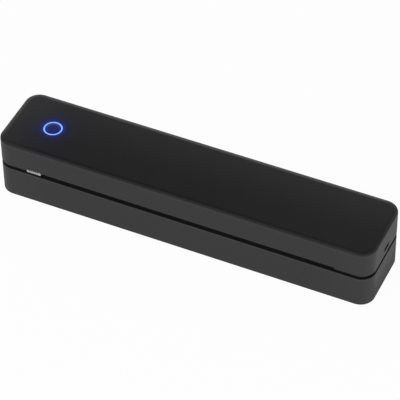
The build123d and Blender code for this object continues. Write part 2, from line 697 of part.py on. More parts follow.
# ------------------------------------------------------------------ roller and its chassis
def side_plate(x, rear_edge, rear_height):
    """Upright sheet that carries one end of the roller."""
    ahead = platen_y - CHASSIS_HALF_DEPTH
    top = BASE_RIM - CHASSIS_HEADROOM
    outline = [(ahead, floor_top), (rear_edge, floor_top), (rear_edge, rear_height),
               (platen_y + CHASSIS_HALF_DEPTH, rear_height), (platen_y + BUSH_FLANGE_RADIUS, top),
               (platen_y - BUSH_FLANGE_RADIUS, top), (ahead, platen_z)]
    return along_x(outline, x)


def roller_chassis():
    """Bent steel channel: floor strip and two side plates."""
    strip = block((plate_left[0], plate_right[1]),
                  (platen_y - CHASSIS_HALF_DEPTH, platen_y + CHASSIS_HALF_DEPTH),
                  (floor_top, floor_top + SHEET))
    motor_edge = motor_y + MOTOR_EAR_REACH
    channel = strip + side_plate(plate_left, motor_edge, motor_z + motor_half_height)
    channel += side_plate(plate_right, platen_y + CHASSIS_HALF_DEPTH + RIGHT_PLATE_STEP, platen_z)
    for plate in (plate_left, plate_right):
        channel -= rod_x(BUSH_RADIUS, (plate[0] - OVER, plate[1] + OVER), platen_y, platen_z)
    past = (plate_left[0] - OVER, plate_left[1] + OVER)
    channel -= rod_x(IDLER_PIN_RADIUS, past, idler_y, idler_z)
    channel -= rod_x(MOTOR_BOSS_RADIUS, past, motor_y, motor_z)
    for y in motor_screw_places():
        channel -= rod_x(SMALL_SCREW_RADIUS, past, y, motor_z)
    for x, y in chassis_screw_places():
        channel -= rod_z(SMALL_SCREW_RADIUS, x, y, (floor_top - OVER, floor_top + 2 * SHEET))
    return channel


def chassis_screw_places():
    ends = (plate_left[1] + CHASSIS_SCREW_FROM_PLATE, plate_right[0] - CHASSIS_SCREW_FROM_PLATE)
    reach = CHASSIS_HALF_DEPTH - SMALL_SCREW_HEAD_RADIUS - CHASSIS_SCREW_MARGIN
    return [(x, platen_y + side * reach) for x in ends for side in (-1, 1)]


def chassis_screws():
    seat = floor_top + SHEET
    return Compound(children=[small_screw_down(x, y, seat, 2 * SHEET) for x, y in chassis_screw_places()])


def bush(inner, outer, flange):
    """Flanged plain bearing through a side plate."""
    sleeve = rod_x(BUSH_RADIUS, (min(inner, outer), max(inner, outer)), platen_y, platen_z)
    sleeve += rod_x(BUSH_FLANGE_RADIUS, (min(outer, flange), max(outer, flange)), platen_y, platen_z)
    return sleeve - rod_x(JOURNAL_RADIUS + SLIP, wide, platen_y, platen_z)


def roller_bushes():
    return Compound(children=[
        bush(plate_left[1], plate_left[0], bush_face),
        bush(plate_right[0], plate_right[1], plate_right[1] + BUSH_FLANGE),
    ])


def platen_roller():
    """Rubber sleeve of the roller."""
    sleeve = rod_x(PLATEN_RADIUS, platen, platen_y, platen_z)
    return sleeve - rod_x(PLATEN_CORE_RADIUS, wide, platen_y, platen_z)


def clip_span():
    start = plate_right[1] + BUSH_FLANGE + GAP
    return (start, start + CLIP_WIDTH)


def platen_shaft():
    """Steel core with a journal at each end and a groove for the clip."""
    core = rod_x(PLATEN_CORE_RADIUS, (platen[0] - PLATEN_CORE_PROUD, platen[1] + PLATEN_CORE_PROUD),
                 platen_y, platen_z)
    shaft = core + rod_x(JOURNAL_RADIUS, (near_gear[0], clip_span()[1] + SHAFT_PAST_CLIP), platen_y, platen_z)
    groove = rod_x(CLIP_RADIUS, clip_span(), platen_y, platen_z)
    return shaft - (groove - rod_x(JOURNAL_RADIUS - CLIP_GROOVE, wide, platen_y, platen_z))


def platen_clip():
    """Open ring in the groove of the shaft."""
    ring = rod_x(CLIP_RADIUS, clip_span(), platen_y, platen_z)
    ring -= rod_x(JOURNAL_RADIUS - CLIP_GROOVE, wide, platen_y, platen_z)
    mouth = JOURNAL_RADIUS - CLIP_GROOVE
    return ring - block(wide, (platen_y - mouth, platen_y + mouth), (0, platen_z))


def platen_gear():
    wheel = gear(PLATEN_TEETH, near_gear, platen_y, platen_z, IDLER_ANGLE)
    return wheel - rod_x(JOURNAL_RADIUS, wide, platen_y, platen_z)


def idler_gear():
    """Compound gear: small wheel to the roller, large wheel to the motor."""
    small = gear(IDLER_SMALL_TEETH, (far_gear[1], near_gear[1]), idler_y, idler_z,
                 gap_at(IDLER_ANGLE, IDLER_SMALL_TEETH))
    large = gear(IDLER_LARGE_TEETH, far_gear, idler_y, idler_z, MOTOR_ANGLE)
    hub = rod_x(IDLER_PIN_RADIUS + HUB_WALL, (near_gear[1], plate_left[0] - GAP), idler_y, idler_z)
    return small + large + hub - rod_x(IDLER_PIN_RADIUS + SLIP, wide, idler_y, idler_z)


def idler_post():
    """Pin riveted in the left plate, with a head that keeps the gear on."""
    pin = rod_x(IDLER_PIN_RADIUS, (far_gear[0] - GAP, plate_left[1]), idler_y, idler_z)
    head = (far_gear[0] - GAP - CLIP_WIDTH, far_gear[0] - GAP)
    return pin + rod_x(IDLER_PIN_RADIUS + HUB_WALL, head, idler_y, idler_z)


def motor_screw_places():
    return [motor_y - MOTOR_SCREW_REACH, motor_y + MOTOR_SCREW_REACH]


def stepper_motor():
    """Feed motor: chamfered can round the rotor, eared flange, nose through the plate, connector."""
    half_depth = MOTOR_DEPTH / 2
    can = block(motor_can, (motor_y - half_depth, motor_y + half_depth),
                (motor_z - motor_half_height, motor_z + motor_half_height))
    can = chamfer(can.edges().filter_by(Axis.X), MOTOR_CHAMFER)
    can += block(motor_flange, (motor_y - MOTOR_EAR_REACH, motor_y + MOTOR_EAR_REACH),
                 (motor_z - MOTOR_EAR_HALF_HEIGHT, motor_z + MOTOR_EAR_HALF_HEIGHT))
    can += rod_x(motor_half_height - MOTOR_FLANGE_STEP, motor_flange, motor_y, motor_z)
    can += rod_x(MOTOR_BOSS_RADIUS, plate_left, motor_y, motor_z)
    can += rod_x(MOTOR_BOSS_RADIUS, (motor_can[1], motor_can[1] + MOTOR_REAR_BOSS), motor_y, motor_z)
    can += block(motor_socket, (motor_y - MOTOR_BOSS_RADIUS, motor_y + MOTOR_BOSS_RADIUS),
                 (motor_z + MOTOR_BOSS_RADIUS, motor_z + motor_half_height))
    can -= rod_x(MOTOR_SHAFT_RADIUS + SLIP, (plate_left[0] - OVER, rotor[1]), motor_y, motor_z)
    can -= rod_x(ROTOR_RADIUS + ROTOR_AIR, (rotor[0] - ROTOR_AIR, rotor[1] + ROTOR_AIR), motor_y, motor_z)
    for y in motor_screw_places():
        can -= rod_x(SMALL_SCREW_RADIUS, (motor_flange[0] - OVER, motor_flange[1] + ROOT), y, motor_z)
    return can


def motor_screws():
    """Screws through the motor's ears into the left plate."""
    screws = []
    seat = motor_flange[1]
    for y in motor_screw_places():
        shank = rod_x(SMALL_SCREW_RADIUS, (plate_left[0], seat), y, motor_z)
        screws.append(shank + rod_x(SMALL_SCREW_HEAD_RADIUS, (seat, seat + SMALL_SCREW_HEAD), y, motor_z))
    return Compound(children=screws)


def motor_shaft():
    """Shaft with the magnet rotor that turns inside the motor's can."""
    shaft = rod_x(MOTOR_SHAFT_RADIUS, (far_gear[0], rotor[0] + ROOT), motor_y, motor_z)
    return shaft + rod_x(ROTOR_RADIUS, rotor, motor_y, motor_z)


def motor_pinion():
    pinion = gear(PINION_TEETH, far_gear, motor_y, motor_z, gap_at(MOTOR_ANGLE, PINION_TEETH))
    return pinion - rod_x(MOTOR_SHAFT_RADIUS, wide, motor_y, motor_z)


# ------------------------------------------------------------------ battery
def battery_cells():
    """Two cells in line, each with the raised cap of its positive end."""
    solids = []
    for start, stop in cells:
        cell = rod_x(CELL_RADIUS, (start, stop - CELL_CAP), battery_y, battery_z)
        solids.append(cell + rod_x(CELL_CAP_RADIUS, (stop - CELL_CAP, stop), battery_y, battery_z))
    return Compound(children=solids)


def battery_straps():
    """Moulded hoops over the cells, with toes on the floor."""
    straps = []
    outer = CELL_RADIUS + STRAP
    for start, stop in cells:
        middle = (start + stop) / 2
        x = (middle - STRAP_WIDTH / 2, middle + STRAP_WIDTH / 2)
        hoop = rod_x(outer, x, battery_y, battery_z)
        hoop += block(x, (battery_y - outer, battery_y + outer), (floor_top, battery_z))
        hoop += block(x, (battery_y - outer - STRAP_TOE, battery_y + outer + STRAP_TOE),
                      (floor_top, floor_top + STRAP))
        hoop -= rod_x(CELL_RADIUS, wide, battery_y, battery_z)
        hoop -= block(wide, (battery_y - CELL_RADIUS, battery_y + CELL_RADIUS), (0, battery_z))
        straps.append(hoop)
    return Compound(children=straps)


def battery_board():
    """Protection board standing against the positive end of the cells."""
    x = cells[1][1]
    board = block((x, x + BOARD), (battery_y - CELL_RADIUS, battery_y + CELL_RADIUS),
                  (floor_top, battery_z + CELL_RADIUS - CELL_BOARD_DROP))
    chip = CELL_CAP_RADIUS / 2
    return board + block((x + BOARD, x + BOARD + CELL_CHIP), (battery_y - chip, battery_y + chip),
                         (battery_z - chip, battery_z + chip))


# ------------------------------------------------------------------ cover
def upper_cover():
    """Top shell with the outlet's upper edge, hinge knuckles, ribs, bosses and openings."""
    shell = slab(0, (cover_rim, HEIGHT))
    shell = fillet(shell.edges().group_by(Axis.Z)[-1], TOP_EDGE_RADIUS)
    shell -= slab(WALL, (cover_rim - OVER, roof_under))
    shell -= block(slot, (front - OVER, inner_front + OVER), (cover_rim - OVER, slot_top))
    shell += roof_ribs()
    for span in hinge_spans(outer=True):
        notch = (span[0] - GAP, span[1] + GAP)
        shell -= block(notch, (hinge_y - HINGE_RADIUS - GAP, rear + OVER),
                       (cover_rim - OVER, hinge_z + HINGE_RADIUS + SWING_GAP))
    for span in hinge_spans(outer=False):
        shell += knuckle(span, (hinge_z, cover_rim + KNUCKLE_ROOT), HINGE_PIN_RADIUS + SLIP)
    for x, y in liner_screw_places():
        shell += rod_z(BOSS_RADIUS, x, y, (liner_top + LINER_BOSS, roof_under + ROOT))
        shell -= rod_z(SCREW_RADIUS, x, y, (liner_top, liner_top + SCREW_LENGTH))
    for x, y in bracket_screw_places():
        shell += rod_z(BOSS_RADIUS, x, y, (bracket_top, roof_under + ROOT))
        shell -= rod_z(SMALL_SCREW_RADIUS, x, y, (bracket_top - OVER, roof_under - ROOT))
    for x, y in button_board_corners():
        shell += rod_z(BUTTON_POST_RADIUS, x, y, (button_board_top, roof_under + ROOT))
        shell -= rod_z(BUTTON_SCREW_RADIUS, x, y, (button_board_top - OVER, roof_under - ROOT))
    shell -= rod_z(RING_OUTER_RADIUS, button_x, button_y, (roof_under - OVER, HEIGHT + OVER))
    return shell - usb_opening()


def roof_ribs():
    """Low ribs across the underside of the roof, clear of the button."""
    depth = (inner_front - ROOT, inner_rear + ROOT)
    height = (roof_under - ROOF_RIB_DEPTH, roof_under + ROOT)
    start = button_x + RING_FLANGE_RADIUS + ROOF_RIB_FROM_RING
    ribs = [block((x, x + ROOF_RIB), depth, height) for x in spread(start, inner_right, ROOF_RIB_PITCH)]
    return Compound(children=ribs[:-1]) if len(ribs) > 1 else ribs[0]


def usb_opening():
    """Oblong hole in the right end wall."""
    hole = SlotOverall(USB_WIDTH + 2 * USB_MARGIN, USB_HEIGHT + 2 * USB_MARGIN)
    face = Plane.YZ.offset(inner_right - OVER) * (Pos(usb_y, usb_z) * hole)
    return extrude(face, amount=WALL + 2 * OVER, dir=(1, 0, 0))


def cover_liner():
    """Inner frame: closes the cover, guides the paper, carries boards and lock, fills the side gap."""
    plate = slab(liner_inset, (liner_under, liner_top)) + liner_skirt()
    window = (bracket[0] - WINDOW_MARGIN, bracket[1] + WINDOW_MARGIN)
    plate -= block(window, (platen_y - LINER_WINDOW_FRONT, platen_y + LINER_WINDOW_REAR),
                   (liner_under - OVER, liner_top + OVER))
    plate -= block((slot[0], slot[1]), (front, liner_front), (skirt_foot, liner_top + OVER))
    for x in spread(platen[0], platen[1], PAPER_RIB_PITCH):
        plate += liner_rib(x)
    for x, y in liner_screw_places():
        plate += rod_z(BOSS_RADIUS + LINER_BOSS_WALL, x, y, (liner_top - ROOT, liner_top + LINER_BOSS))
        plate -= rod_z(SCREW_HEAD_RADIUS + GAP, x, y, (liner_under - OVER, liner_top))
        plate -= rod_z(SCREW_RADIUS, x, y, (liner_under, liner_top + LINER_BOSS + OVER))
    for hook in (left_hook, right_hook):
        reach = (hook - SWING_GAP, hook + HOOK_STEM + HOOK_REACH + LOCK_TRAVEL + SWING_GAP)
        plate -= block(reach, (lock_y[0] - GAP, lock_y[1] + GAP), (skirt_foot, liner_top + OVER))
    for inner, outer in zip(hinge_spans(outer=False), hinge_spans(outer=True)):
        span = (min(inner[0], outer[0]) - SWING_GAP, max(inner[1], outer[1]) + SWING_GAP)
        plate -= block(span, (hinge_y - HINGE_RADIUS - GAP, rear), (liner_under - OVER, liner_top + OVER))
    for x in GUIDE_PLACES:
        plate += lock_guide(x)
    return plate + board_pads()


def liner_skirt():
    """Wall behind the open gap, left out at the outlet and at the rear."""
    ring = slab(liner_inset, (skirt_foot, liner_under)) - slab(liner_inset + SKIRT, (skirt_foot, liner_under))
    ring -= block((slot[0] - GAP, slot[1] + GAP), (front, 0), (skirt_foot, liner_under))
    return ring - block(wide, (rear - CORNER_RADIUS, rear), (skirt_foot, liner_under))


def liner_rib(x):
    """Two guide ribs under the liner, before and behind the print head, each with sloped ends."""
    rib = None
    stretches = [
        (liner_front, platen_y - LINER_WINDOW_FRONT),
        (platen_y + LINER_WINDOW_REAR, inner_rear - GAP),
    ]
    for start, stop in stretches:
        foot_line = liner_under - PAPER_RIB_RISE
        outline = [(start, liner_under + ROOT), (start, liner_under), (start + PAPER_RIB_SLOPE, foot_line),
                   (stop - PAPER_RIB_SLOPE, foot_line), (stop, liner_under), (stop, liner_under + ROOT)]
        piece = along_x(outline, (x - PAPER_RIB_WIDTH / 2, x + PAPER_RIB_WIDTH / 2))
        rib = piece if rib is None else rib + piece
    return rib


def lock_guide(x):
    """Post behind the lock bar with a lip over it."""
    span = (x - GUIDE_WIDTH / 2, x + GUIDE_WIDTH / 2)
    back = (lock_y[1] + GAP, lock_y[1] + GAP + GUIDE_THICK)
    post = block(span, back, (liner_top - ROOT, lock_z[1] + GAP + GUIDE_LIP))
    return post + block(span, (lock_y[0], back[1]), (lock_z[1] + GAP, lock_z[1] + GAP + GUIDE_LIP))


def board_pads():
    """Feet under the main board and the charging board."""
    pads = None
    for x, y in corners(main_board_x, main_board_y, BOARD_PAD_INSET):
        pad = rod_z(BOARD_PAD_RADIUS, x, y, (liner_top - ROOT, main_board_z[0]))
        pads = pad if pads is None else pads + pad
    for x, y in corners(usb_board_x, usb_board_y, BOARD_PAD_INSET):
        pads += rod_z(BOARD_PAD_RADIUS, x, y, (liner_top - ROOT, usb_board_z[0]))
    return pads


def cover_screws():
    return Compound(children=[screw(x, y, liner_top, SCREW_LENGTH) for x, y in liner_screw_places()])


# ------------------------------------------------------------------ power button
def ring_light():
    """Clear guide with a collar under the roof and a lit face flush with the top."""
    ring = rod_z(RING_OUTER_RADIUS, button_x, button_y, (ring_foot, HEIGHT))
    ring += rod_z(RING_FLANGE_RADIUS, button_x, button_y, (ring_foot, roof_under))
    return ring - rod_z(RING_INNER_RADIUS, button_x, button_y, (ring_foot - OVER, HEIGHT + OVER))


def power_button():
    """Round cap with a hollow skirt, a retaining flange and a stem over the switch."""
    cap = rod_z(BUTTON_RADIUS, button_x, button_y, (flange_foot, HEIGHT))
    cap += rod_z(BUTTON_FLANGE_RADIUS, button_x, button_y, (flange_foot, flange_top))
    cap -= rod_z(BUTTON_RADIUS - BUTTON_SKIN, button_x, button_y, (flange_foot - OVER, HEIGHT - BUTTON_SKIN))
    return cap + rod_z(BUTTON_STEM_RADIUS, button_x, button_y, (stem_foot, HEIGHT - BUTTON_SKIN / 2))


def button_board_corners():
    return corners(button_board_x, button_board_y, BUTTON_POST_RADIUS)


def button_board():
    board = block(button_board_x, button_board_y, (button_board_top - BOARD, button_board_top))
    for x, y in button_board_corners():
        board -= rod_z(BUTTON_SCREW_RADIUS, x, y, (button_board_top - BOARD - OVER, button_board_top + OVER))
    return board


def button_switch():
    """Key switch with its round plunger."""
    half = SWITCH_SIZE / 2
    top = button_board_top + SWITCH_HEIGHT
    body = block((button_x - half, button_x + half), (button_y - half, button_y + half),
                 (button_board_top, top))
    return body + rod_z(PLUNGER_RADIUS, button_x, button_y, (top, plunger_top))


# ------------------------------------------------------------------ boards
def main_board():
    return block(main_board_x, main_board_y, main_board_z)


def on_main_board(centre, length, depth, height):
    """Part on the main board: centre and length are shares of its length, depth of its depth."""
    span = main_board_x[1] - main_board_x[0]
    deep = main_board_y[1] - main_board_y[0]
    x = main_board_x[0] + centre * span
    y = (main_board_y[0] + main_board_y[1]) / 2
    return block((x - length * span / 2, x + length * span / 2), (y - depth * deep / 2, y + depth * deep / 2),
                 (main_board_z[1], main_board_z[1] + height))


def board_chips():
    """Controller, driver chips, coil, capacitors and connectors on the main board."""
    chips = [on_main_board(*part) for part in CHIPS]
    room = roof_under - ROOF_RIB_DEPTH - main_board_z[1]
    top = main_board_z[1] + CAPACITOR_SHARE * room
    y = (main_board_y[0] + main_board_y[1]) / 2
    for place in CAPACITOR_PLACES:
        x = main_board_x[0] + place * (main_board_x[1] - main_board_x[0])
        chips.append(rod_z(CAPACITOR_RADIUS, x, y, (main_board_z[1], top)))
    return Compound(children=chips)


def usb_board():
    return block(usb_board_x, usb_board_y, usb_board_z)


def usb_socket():
    """Oblong metal shell with its contact tongue."""
    outer = SlotOverall(USB_WIDTH, USB_HEIGHT)
    inner = SlotOverall(USB_WIDTH - 2 * USB_SHEET, USB_HEIGHT - 2 * USB_SHEET)
    back = usb_mouth - USB_DEPTH
    place = Pos(usb_y, usb_z)
    shell = extrude(Plane.YZ.offset(back) * (place * outer), amount=USB_DEPTH, dir=(1, 0, 0))
    shell -= extrude(Plane.YZ.offset(back + USB_BACK) * (place * inner), amount=USB_DEPTH, dir=(1, 0, 0))
    tongue = block((back, usb_mouth - USB_TONGUE_SUNK),
                   (usb_y - USB_TONGUE[0] / 2, usb_y + USB_TONGUE[0] / 2),
                   (usb_z - USB_TONGUE[1] / 2, usb_z + USB_TONGUE[1] / 2))
    return shell + tongue


# ------------------------------------------------------------------ print head
def print_head():
    """Ceramic plate with the raised heater line along its underside."""
    line = [(platen_y - CERAMIC_AHEAD, sink_under), (platen_y - CERAMIC_AHEAD, ceramic_under)]
    for step in range(GLAZE_SIDES + 1):
        turn = pi * step / GLAZE_SIDES
        line.append((platen_y - GLAZE_HALF_WIDTH * cos(turn), ceramic_under - GLAZE_RISE * sin(turn)))
    line += [(platen_y + CERAMIC_BEHIND, ceramic_under), (platen_y + CERAMIC_BEHIND, sink_under)]
    return along_x(line, platen)


def driver_cover():
    """Sloped black cover over the driver chips, behind the heater line."""
    start, stop = platen_y + CERAMIC_BEHIND, platen_y + SINK_BEHIND
    low = head_z + NIP
    outline = [(start, sink_under), (start, ceramic_under), (start + DRIVER_COVER_SLOPE, low),
               (stop - DRIVER_COVER_SLOPE, low), (stop, ceramic_under), (stop, sink_under)]
    return along_x(outline, platen)


def heat_sink():
    """Finned carrier of the print head, with the boss that rocks on the pivot rod."""
    depth = (platen_y - SINK_AHEAD, platen_y + SINK_BEHIND)
    body = block(sink, depth, (sink_under, sink_top))
    for fin in range(FIN_COUNT):
        y = depth[0] + fin * FIN_PITCH
        body += block(sink, (y, y + FIN), (sink_top - ROOT, sink_top + FIN_HEIGHT))
    web = (pivot_y - PIVOT_BOSS_RADIUS, pivot_y)
    body += block(sink, (web[0], depth[1]), (sink_top - ROOT, pivot_z))
    body += rod_x(PIVOT_BOSS_RADIUS, sink_boss, pivot_y, pivot_z)
    for x in spring_places():
        body -= rod_z(SPRING_POCKET, x, spring_y, (sink_top, sink_top + FIN_HEIGHT + OVER))
    return body - rod_x(PIVOT_RADIUS + SLIP, wide, pivot_y, pivot_z)


def spring_places():
    middle = (platen[0] + platen[1]) / 2
    return [middle + offset for offset in SPRING_PLACES]


def head_pivot():
    return rod_x(PIVOT_RADIUS, (bracket[0] - PIVOT_PROUD, bracket[1] + PIVOT_PROUD), pivot_y, pivot_z)


def pivot_clips():
    """Push-on rings outside the bracket's end plates."""
    rings = []
    for start in (bracket[0] - CLIP_WIDTH, bracket[1]):
        ring = rod_x(PIVOT_RADIUS + PIVOT_CLIP_WALL, (start, start + CLIP_WIDTH), pivot_y, pivot_z)
        rings.append(ring - rod_x(PIVOT_RADIUS, wide, pivot_y, pivot_z))
    return Compound(children=rings)


def head_bracket():
    """Steel channel under the roof: the springs push on its web, its ends hold the pivot rod."""
    depth = (platen_y - BRACKET_AHEAD, platen_y + BRACKET_BEHIND)
    channel = block(bracket, depth, (bracket_top - SHEET, bracket_top))
    foot_z = pivot_z - PIVOT_BOSS_RADIUS
    outline = [(depth[0], bracket_top), (depth[1], bracket_top), (depth[1], foot_z),
               (pivot_y - PIVOT_BOSS_RADIUS, foot_z), (depth[0], pivot_z + PIVOT_BOSS_RADIUS)]
    for x in ((bracket[0], bracket[0] + SHEET), (bracket[1] - SHEET, bracket[1])):
        channel += along_x(outline, x)
    for x, y in bracket_screw_places():
        channel -= rod_z(SMALL_SCREW_RADIUS, x, y, (bracket_top - 2 * SHEET, bracket_top + OVER))
    return channel - rod_x(PIVOT_RADIUS, wide, pivot_y, pivot_z)


def bracket_screws():
    return Compound(children=[
        screw(x, y, bracket_top - SHEET, SHEET + BRACKET_TOP_GAP - ROOT, SMALL_SCREW_RADIUS,
              SMALL_SCREW_HEAD_RADIUS, SMALL_SCREW_HEAD)
        for x, y in bracket_screw_places()
    ])


def board_screws():
    """Screws of the button board, driven up into the cover's posts."""
    seat = button_board_top - BOARD
    return Compound(children=[
        screw(x, y, seat, BOARD + BUTTON_SCREW_GRIP, BUTTON_SCREW_RADIUS, 2 * BUTTON_SCREW_RADIUS,
              BUTTON_SCREW_HEAD)
        for x, y in button_board_corners()
    ])


def head_springs():
    """Coil springs between the head's carrier and the bracket."""
    springs = []
    foot_z, top_z = sink_top + SPRING_WIRE, bracket_top - SHEET - SPRING_WIRE
    for x in spring_places():
        path = Helix((top_z - foot_z) / SPRING_TURNS, top_z - foot_z, SPRING_RADIUS)
        wire = Plane(origin=path @ 0, z_dir=path % 0) * RegularPolygon(SPRING_WIRE, WIRE_SIDES)
        springs.append(Pos(x, spring_y, foot_z) * sweep(wire, path=path, is_frenet=True))
    return Compound(children=springs)


# ------------------------------------------------------------------ lock
def lock_slider():
    """Ribbed finger piece in the outlet, with the stem that joins it to the hooked bar."""
    face = front + SLIDER_SUNK
    bar = block(slider, (face, face + SLIDER_DEPTH), slider_z)
    for x in spread(slider[0] + SLIDER_RIB_PITCH, slider[1] - SLIDER_RIB_PITCH, SLIDER_RIB_PITCH):
        bar -= block((x - SLIDER_GROOVE / 2, x + SLIDER_GROOVE / 2), (face - OVER, face + SLIDER_GROOVE),
                     (slider_z[0] - OVER, slider_z[1] + OVER))
    middle = (slider[0] + slider[1]) / 2
    return bar + block((middle - SLIDER_STEM / 2, middle + SLIDER_STEM / 2),
                       (face + SLIDER_DEPTH, lock_y[0]), (slider_z[0], lock_z[1]))


def lock_bar():
    """Sheet bar across the inside of the front, with a hook at each end."""
    bar = block((left_hook, right_hook + HOOK_STEM), lock_y, lock_z)
    for x in (left_hook, right_hook):
        bar += block((x, x + HOOK_STEM), lock_y, (hook_foot, lock_z[0] + ROOT))
        bar += block((x, x + HOOK_STEM + HOOK_REACH), lock_y, (hook_foot, hook_top))
    return bar


PIECES = [
    lower_casing, paper_deck, roller_chassis, roller_bushes, idler_post, stepper_motor, motor_screws,
    chassis_screws, battery_cells, battery_straps, battery_board, paper_sensor, hinge_pins, base_screws,
    rubber_feet, platen_shaft, platen_roller, platen_gear, platen_clip, idler_gear, motor_shaft,
    motor_pinion, upper_cover, cover_liner, cover_screws, ring_light, button_board, button_switch,
    main_board, board_chips, usb_board, usb_socket, board_screws, head_bracket, bracket_screws,
    head_pivot, pivot_clips, head_springs, heat_sink, print_head, driver_cover, lock_slider, lock_bar,
    power_button,
]


def main():
    os.makedirs("parts", exist_ok=True)
    for piece in PIECES:
        export_step(piece(), f"parts/{piece.__name__}.step")


main()
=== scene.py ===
import json
import math

import bmesh
import bpy
import numpy as np
from mathutils import Matrix, Vector


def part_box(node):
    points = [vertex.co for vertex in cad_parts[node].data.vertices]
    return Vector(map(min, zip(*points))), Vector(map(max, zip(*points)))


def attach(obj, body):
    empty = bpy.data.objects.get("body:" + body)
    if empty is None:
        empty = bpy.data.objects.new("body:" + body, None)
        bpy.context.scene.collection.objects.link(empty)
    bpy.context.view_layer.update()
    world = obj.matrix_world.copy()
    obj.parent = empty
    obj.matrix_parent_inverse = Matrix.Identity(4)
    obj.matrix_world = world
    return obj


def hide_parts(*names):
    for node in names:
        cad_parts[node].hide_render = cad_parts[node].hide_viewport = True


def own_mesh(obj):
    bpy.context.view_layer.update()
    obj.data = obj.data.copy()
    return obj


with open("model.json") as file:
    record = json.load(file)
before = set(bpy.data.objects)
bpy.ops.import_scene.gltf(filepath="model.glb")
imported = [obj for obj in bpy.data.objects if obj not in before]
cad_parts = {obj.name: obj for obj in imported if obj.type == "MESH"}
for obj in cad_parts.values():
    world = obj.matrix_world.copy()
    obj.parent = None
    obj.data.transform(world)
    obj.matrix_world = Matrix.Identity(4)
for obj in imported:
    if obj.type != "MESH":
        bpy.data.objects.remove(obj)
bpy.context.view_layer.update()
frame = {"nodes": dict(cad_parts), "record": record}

# Finished surfaces, materials, lamps and camera of a slim portable page printer.
# Lengths are in millimetres until a mesh is made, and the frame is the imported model's.
MM = 0.001


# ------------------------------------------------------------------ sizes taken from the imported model
def corners(node):
    """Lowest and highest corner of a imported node, in millimetres."""
    low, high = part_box(node)
    return low / MM, high / MM


cover_high = corners("upper_cover")[1]
button_low, button_high = corners("power_button")
ring_low, ring_high = corners("ring_light")
socket_low, socket_high = corners("usb_socket")
slider_low, slider_high = corners("lock_slider")
roller_low, roller_high = corners("platen_roller")
BRACKET_TOP = corners("head_bracket")[1].z
BUTTON_BOARD_TOP = corners("button_board")[1].z
HALF = (cover_high.x, cover_high.y)
TOP = cover_high.z
BUTTON = ((button_low.x + button_high.x) / 2, (button_low.y + button_high.y) / 2)
ROLLER = ((roller_low.y + roller_high.y) / 2, (roller_low.z + roller_high.z) / 2)
SOCKET = ((socket_low.y + socket_high.y) / 2, (socket_low.z + socket_high.z) / 2)

# ------------------------------------------------------------------ sizes of the shells
CORNER = 11.6
WALL = 2.2
TOP_ROUND = 2.0
FOOT_ROUND = 0.8
EDGE = 0.25                 # small round on every rim
SUPPORT = 0.6               # flat strip kept beside a round
GAP = 0.3                   # air between pieces that move past each other
BASE_FOOT = corners("lower_casing")[0].z
BASE_FLOOR = BASE_FOOT + WALL
BASE_RIM = 27.3
COVER_RIM = 30.7
ROOF = TOP - WALL
SLOT = (-129.7, 126.4)      # ends of the paper outlet in the front
SLOT_LIFT = 1.2             # how much higher the cover's rim stands over the outlet
HINGE = (28.25, 29.1)       # axis, in y and z
HINGE_RADIUS = 3.0
KNUCKLE_END = 142.5         # far end of the base's knuckles
KNUCKLE_WIDTH = 7.5
REAR_RIM = 25.4             # where the rear wall is cut down for the paper inlet
LINER_TOP = 32.6
RING = (6.25, 7.45)         # inner and outer radius of the lit ring
RING_FLANGE = (ring_high.x - ring_low.x) / 2
CAP = 6.05                  # radius of the button
CAP_FLANGE = (button_high.x - button_low.x) / 2
ROLLER_RADIUS, CORE_RADIUS = 7.0, 3.0
CELL_LENGTH = 65.0
PILLARS = [(x, y) for x in (-140.0, 140.0) for y in (-17.75, 17.75)]
PILLARS += [(-45.0, -21.55), (45.0, -21.55), (-74.0, 16.0), (82.0, 16.0)]
LINER_SCREWS = [(x, y) for x in (-145.5, 145.5) for y in (-20.0, 20.0)]
LINER_SCREWS += [(-30.0, -21.3), (50.0, -21.3), (-80.0, 20.0)]
SCREW_SEAT = 9.0            # height of the screw heads in the casing's wells
PAN_SCREW = (1.3, 2.1, 1.15, 8.0)    # head's height and radius, shank's radius and length
CATCHES = (-131.6, 133.8)   # left ends of the ledges that the lock's hooks slide under


# ------------------------------------------------------------------ camera
def build_camera():
    """Camera by azimuth, elevation and roll about the case, with its lens and shift."""
    azimuth, elevation, roll = (math.radians(angle) for angle in (25.57191, 44.532, -0.99843))
    level = math.cos(elevation)
    back = Vector((math.sin(azimuth) * level, -math.cos(azimuth) * level, math.sin(elevation)))
    right = Vector((math.cos(azimuth), math.sin(azimuth), 0))
    up = back.cross(right)
    turned_right = math.cos(roll) * right + math.sin(roll) * up
    turned_up = -math.sin(roll) * right + math.cos(roll) * up
    data = bpy.data.cameras.new("camera")
    data.sensor_width, data.lens = 36.0, 216.0754
    data.shift_x, data.shift_y = 0.0094, 0.00707
    data.clip_start, data.clip_end = 0.05, 50.0
    camera = bpy.data.objects.new("camera", data)
    facing = Matrix((turned_right, turned_up, back)).transposed().to_4x4()
    camera.matrix_world = Matrix.Translation(Vector((0, 0, 0.020)) + back * 1.83162) @ facing
    bpy.context.scene.collection.objects.link(camera)
    bpy.context.scene.camera = camera


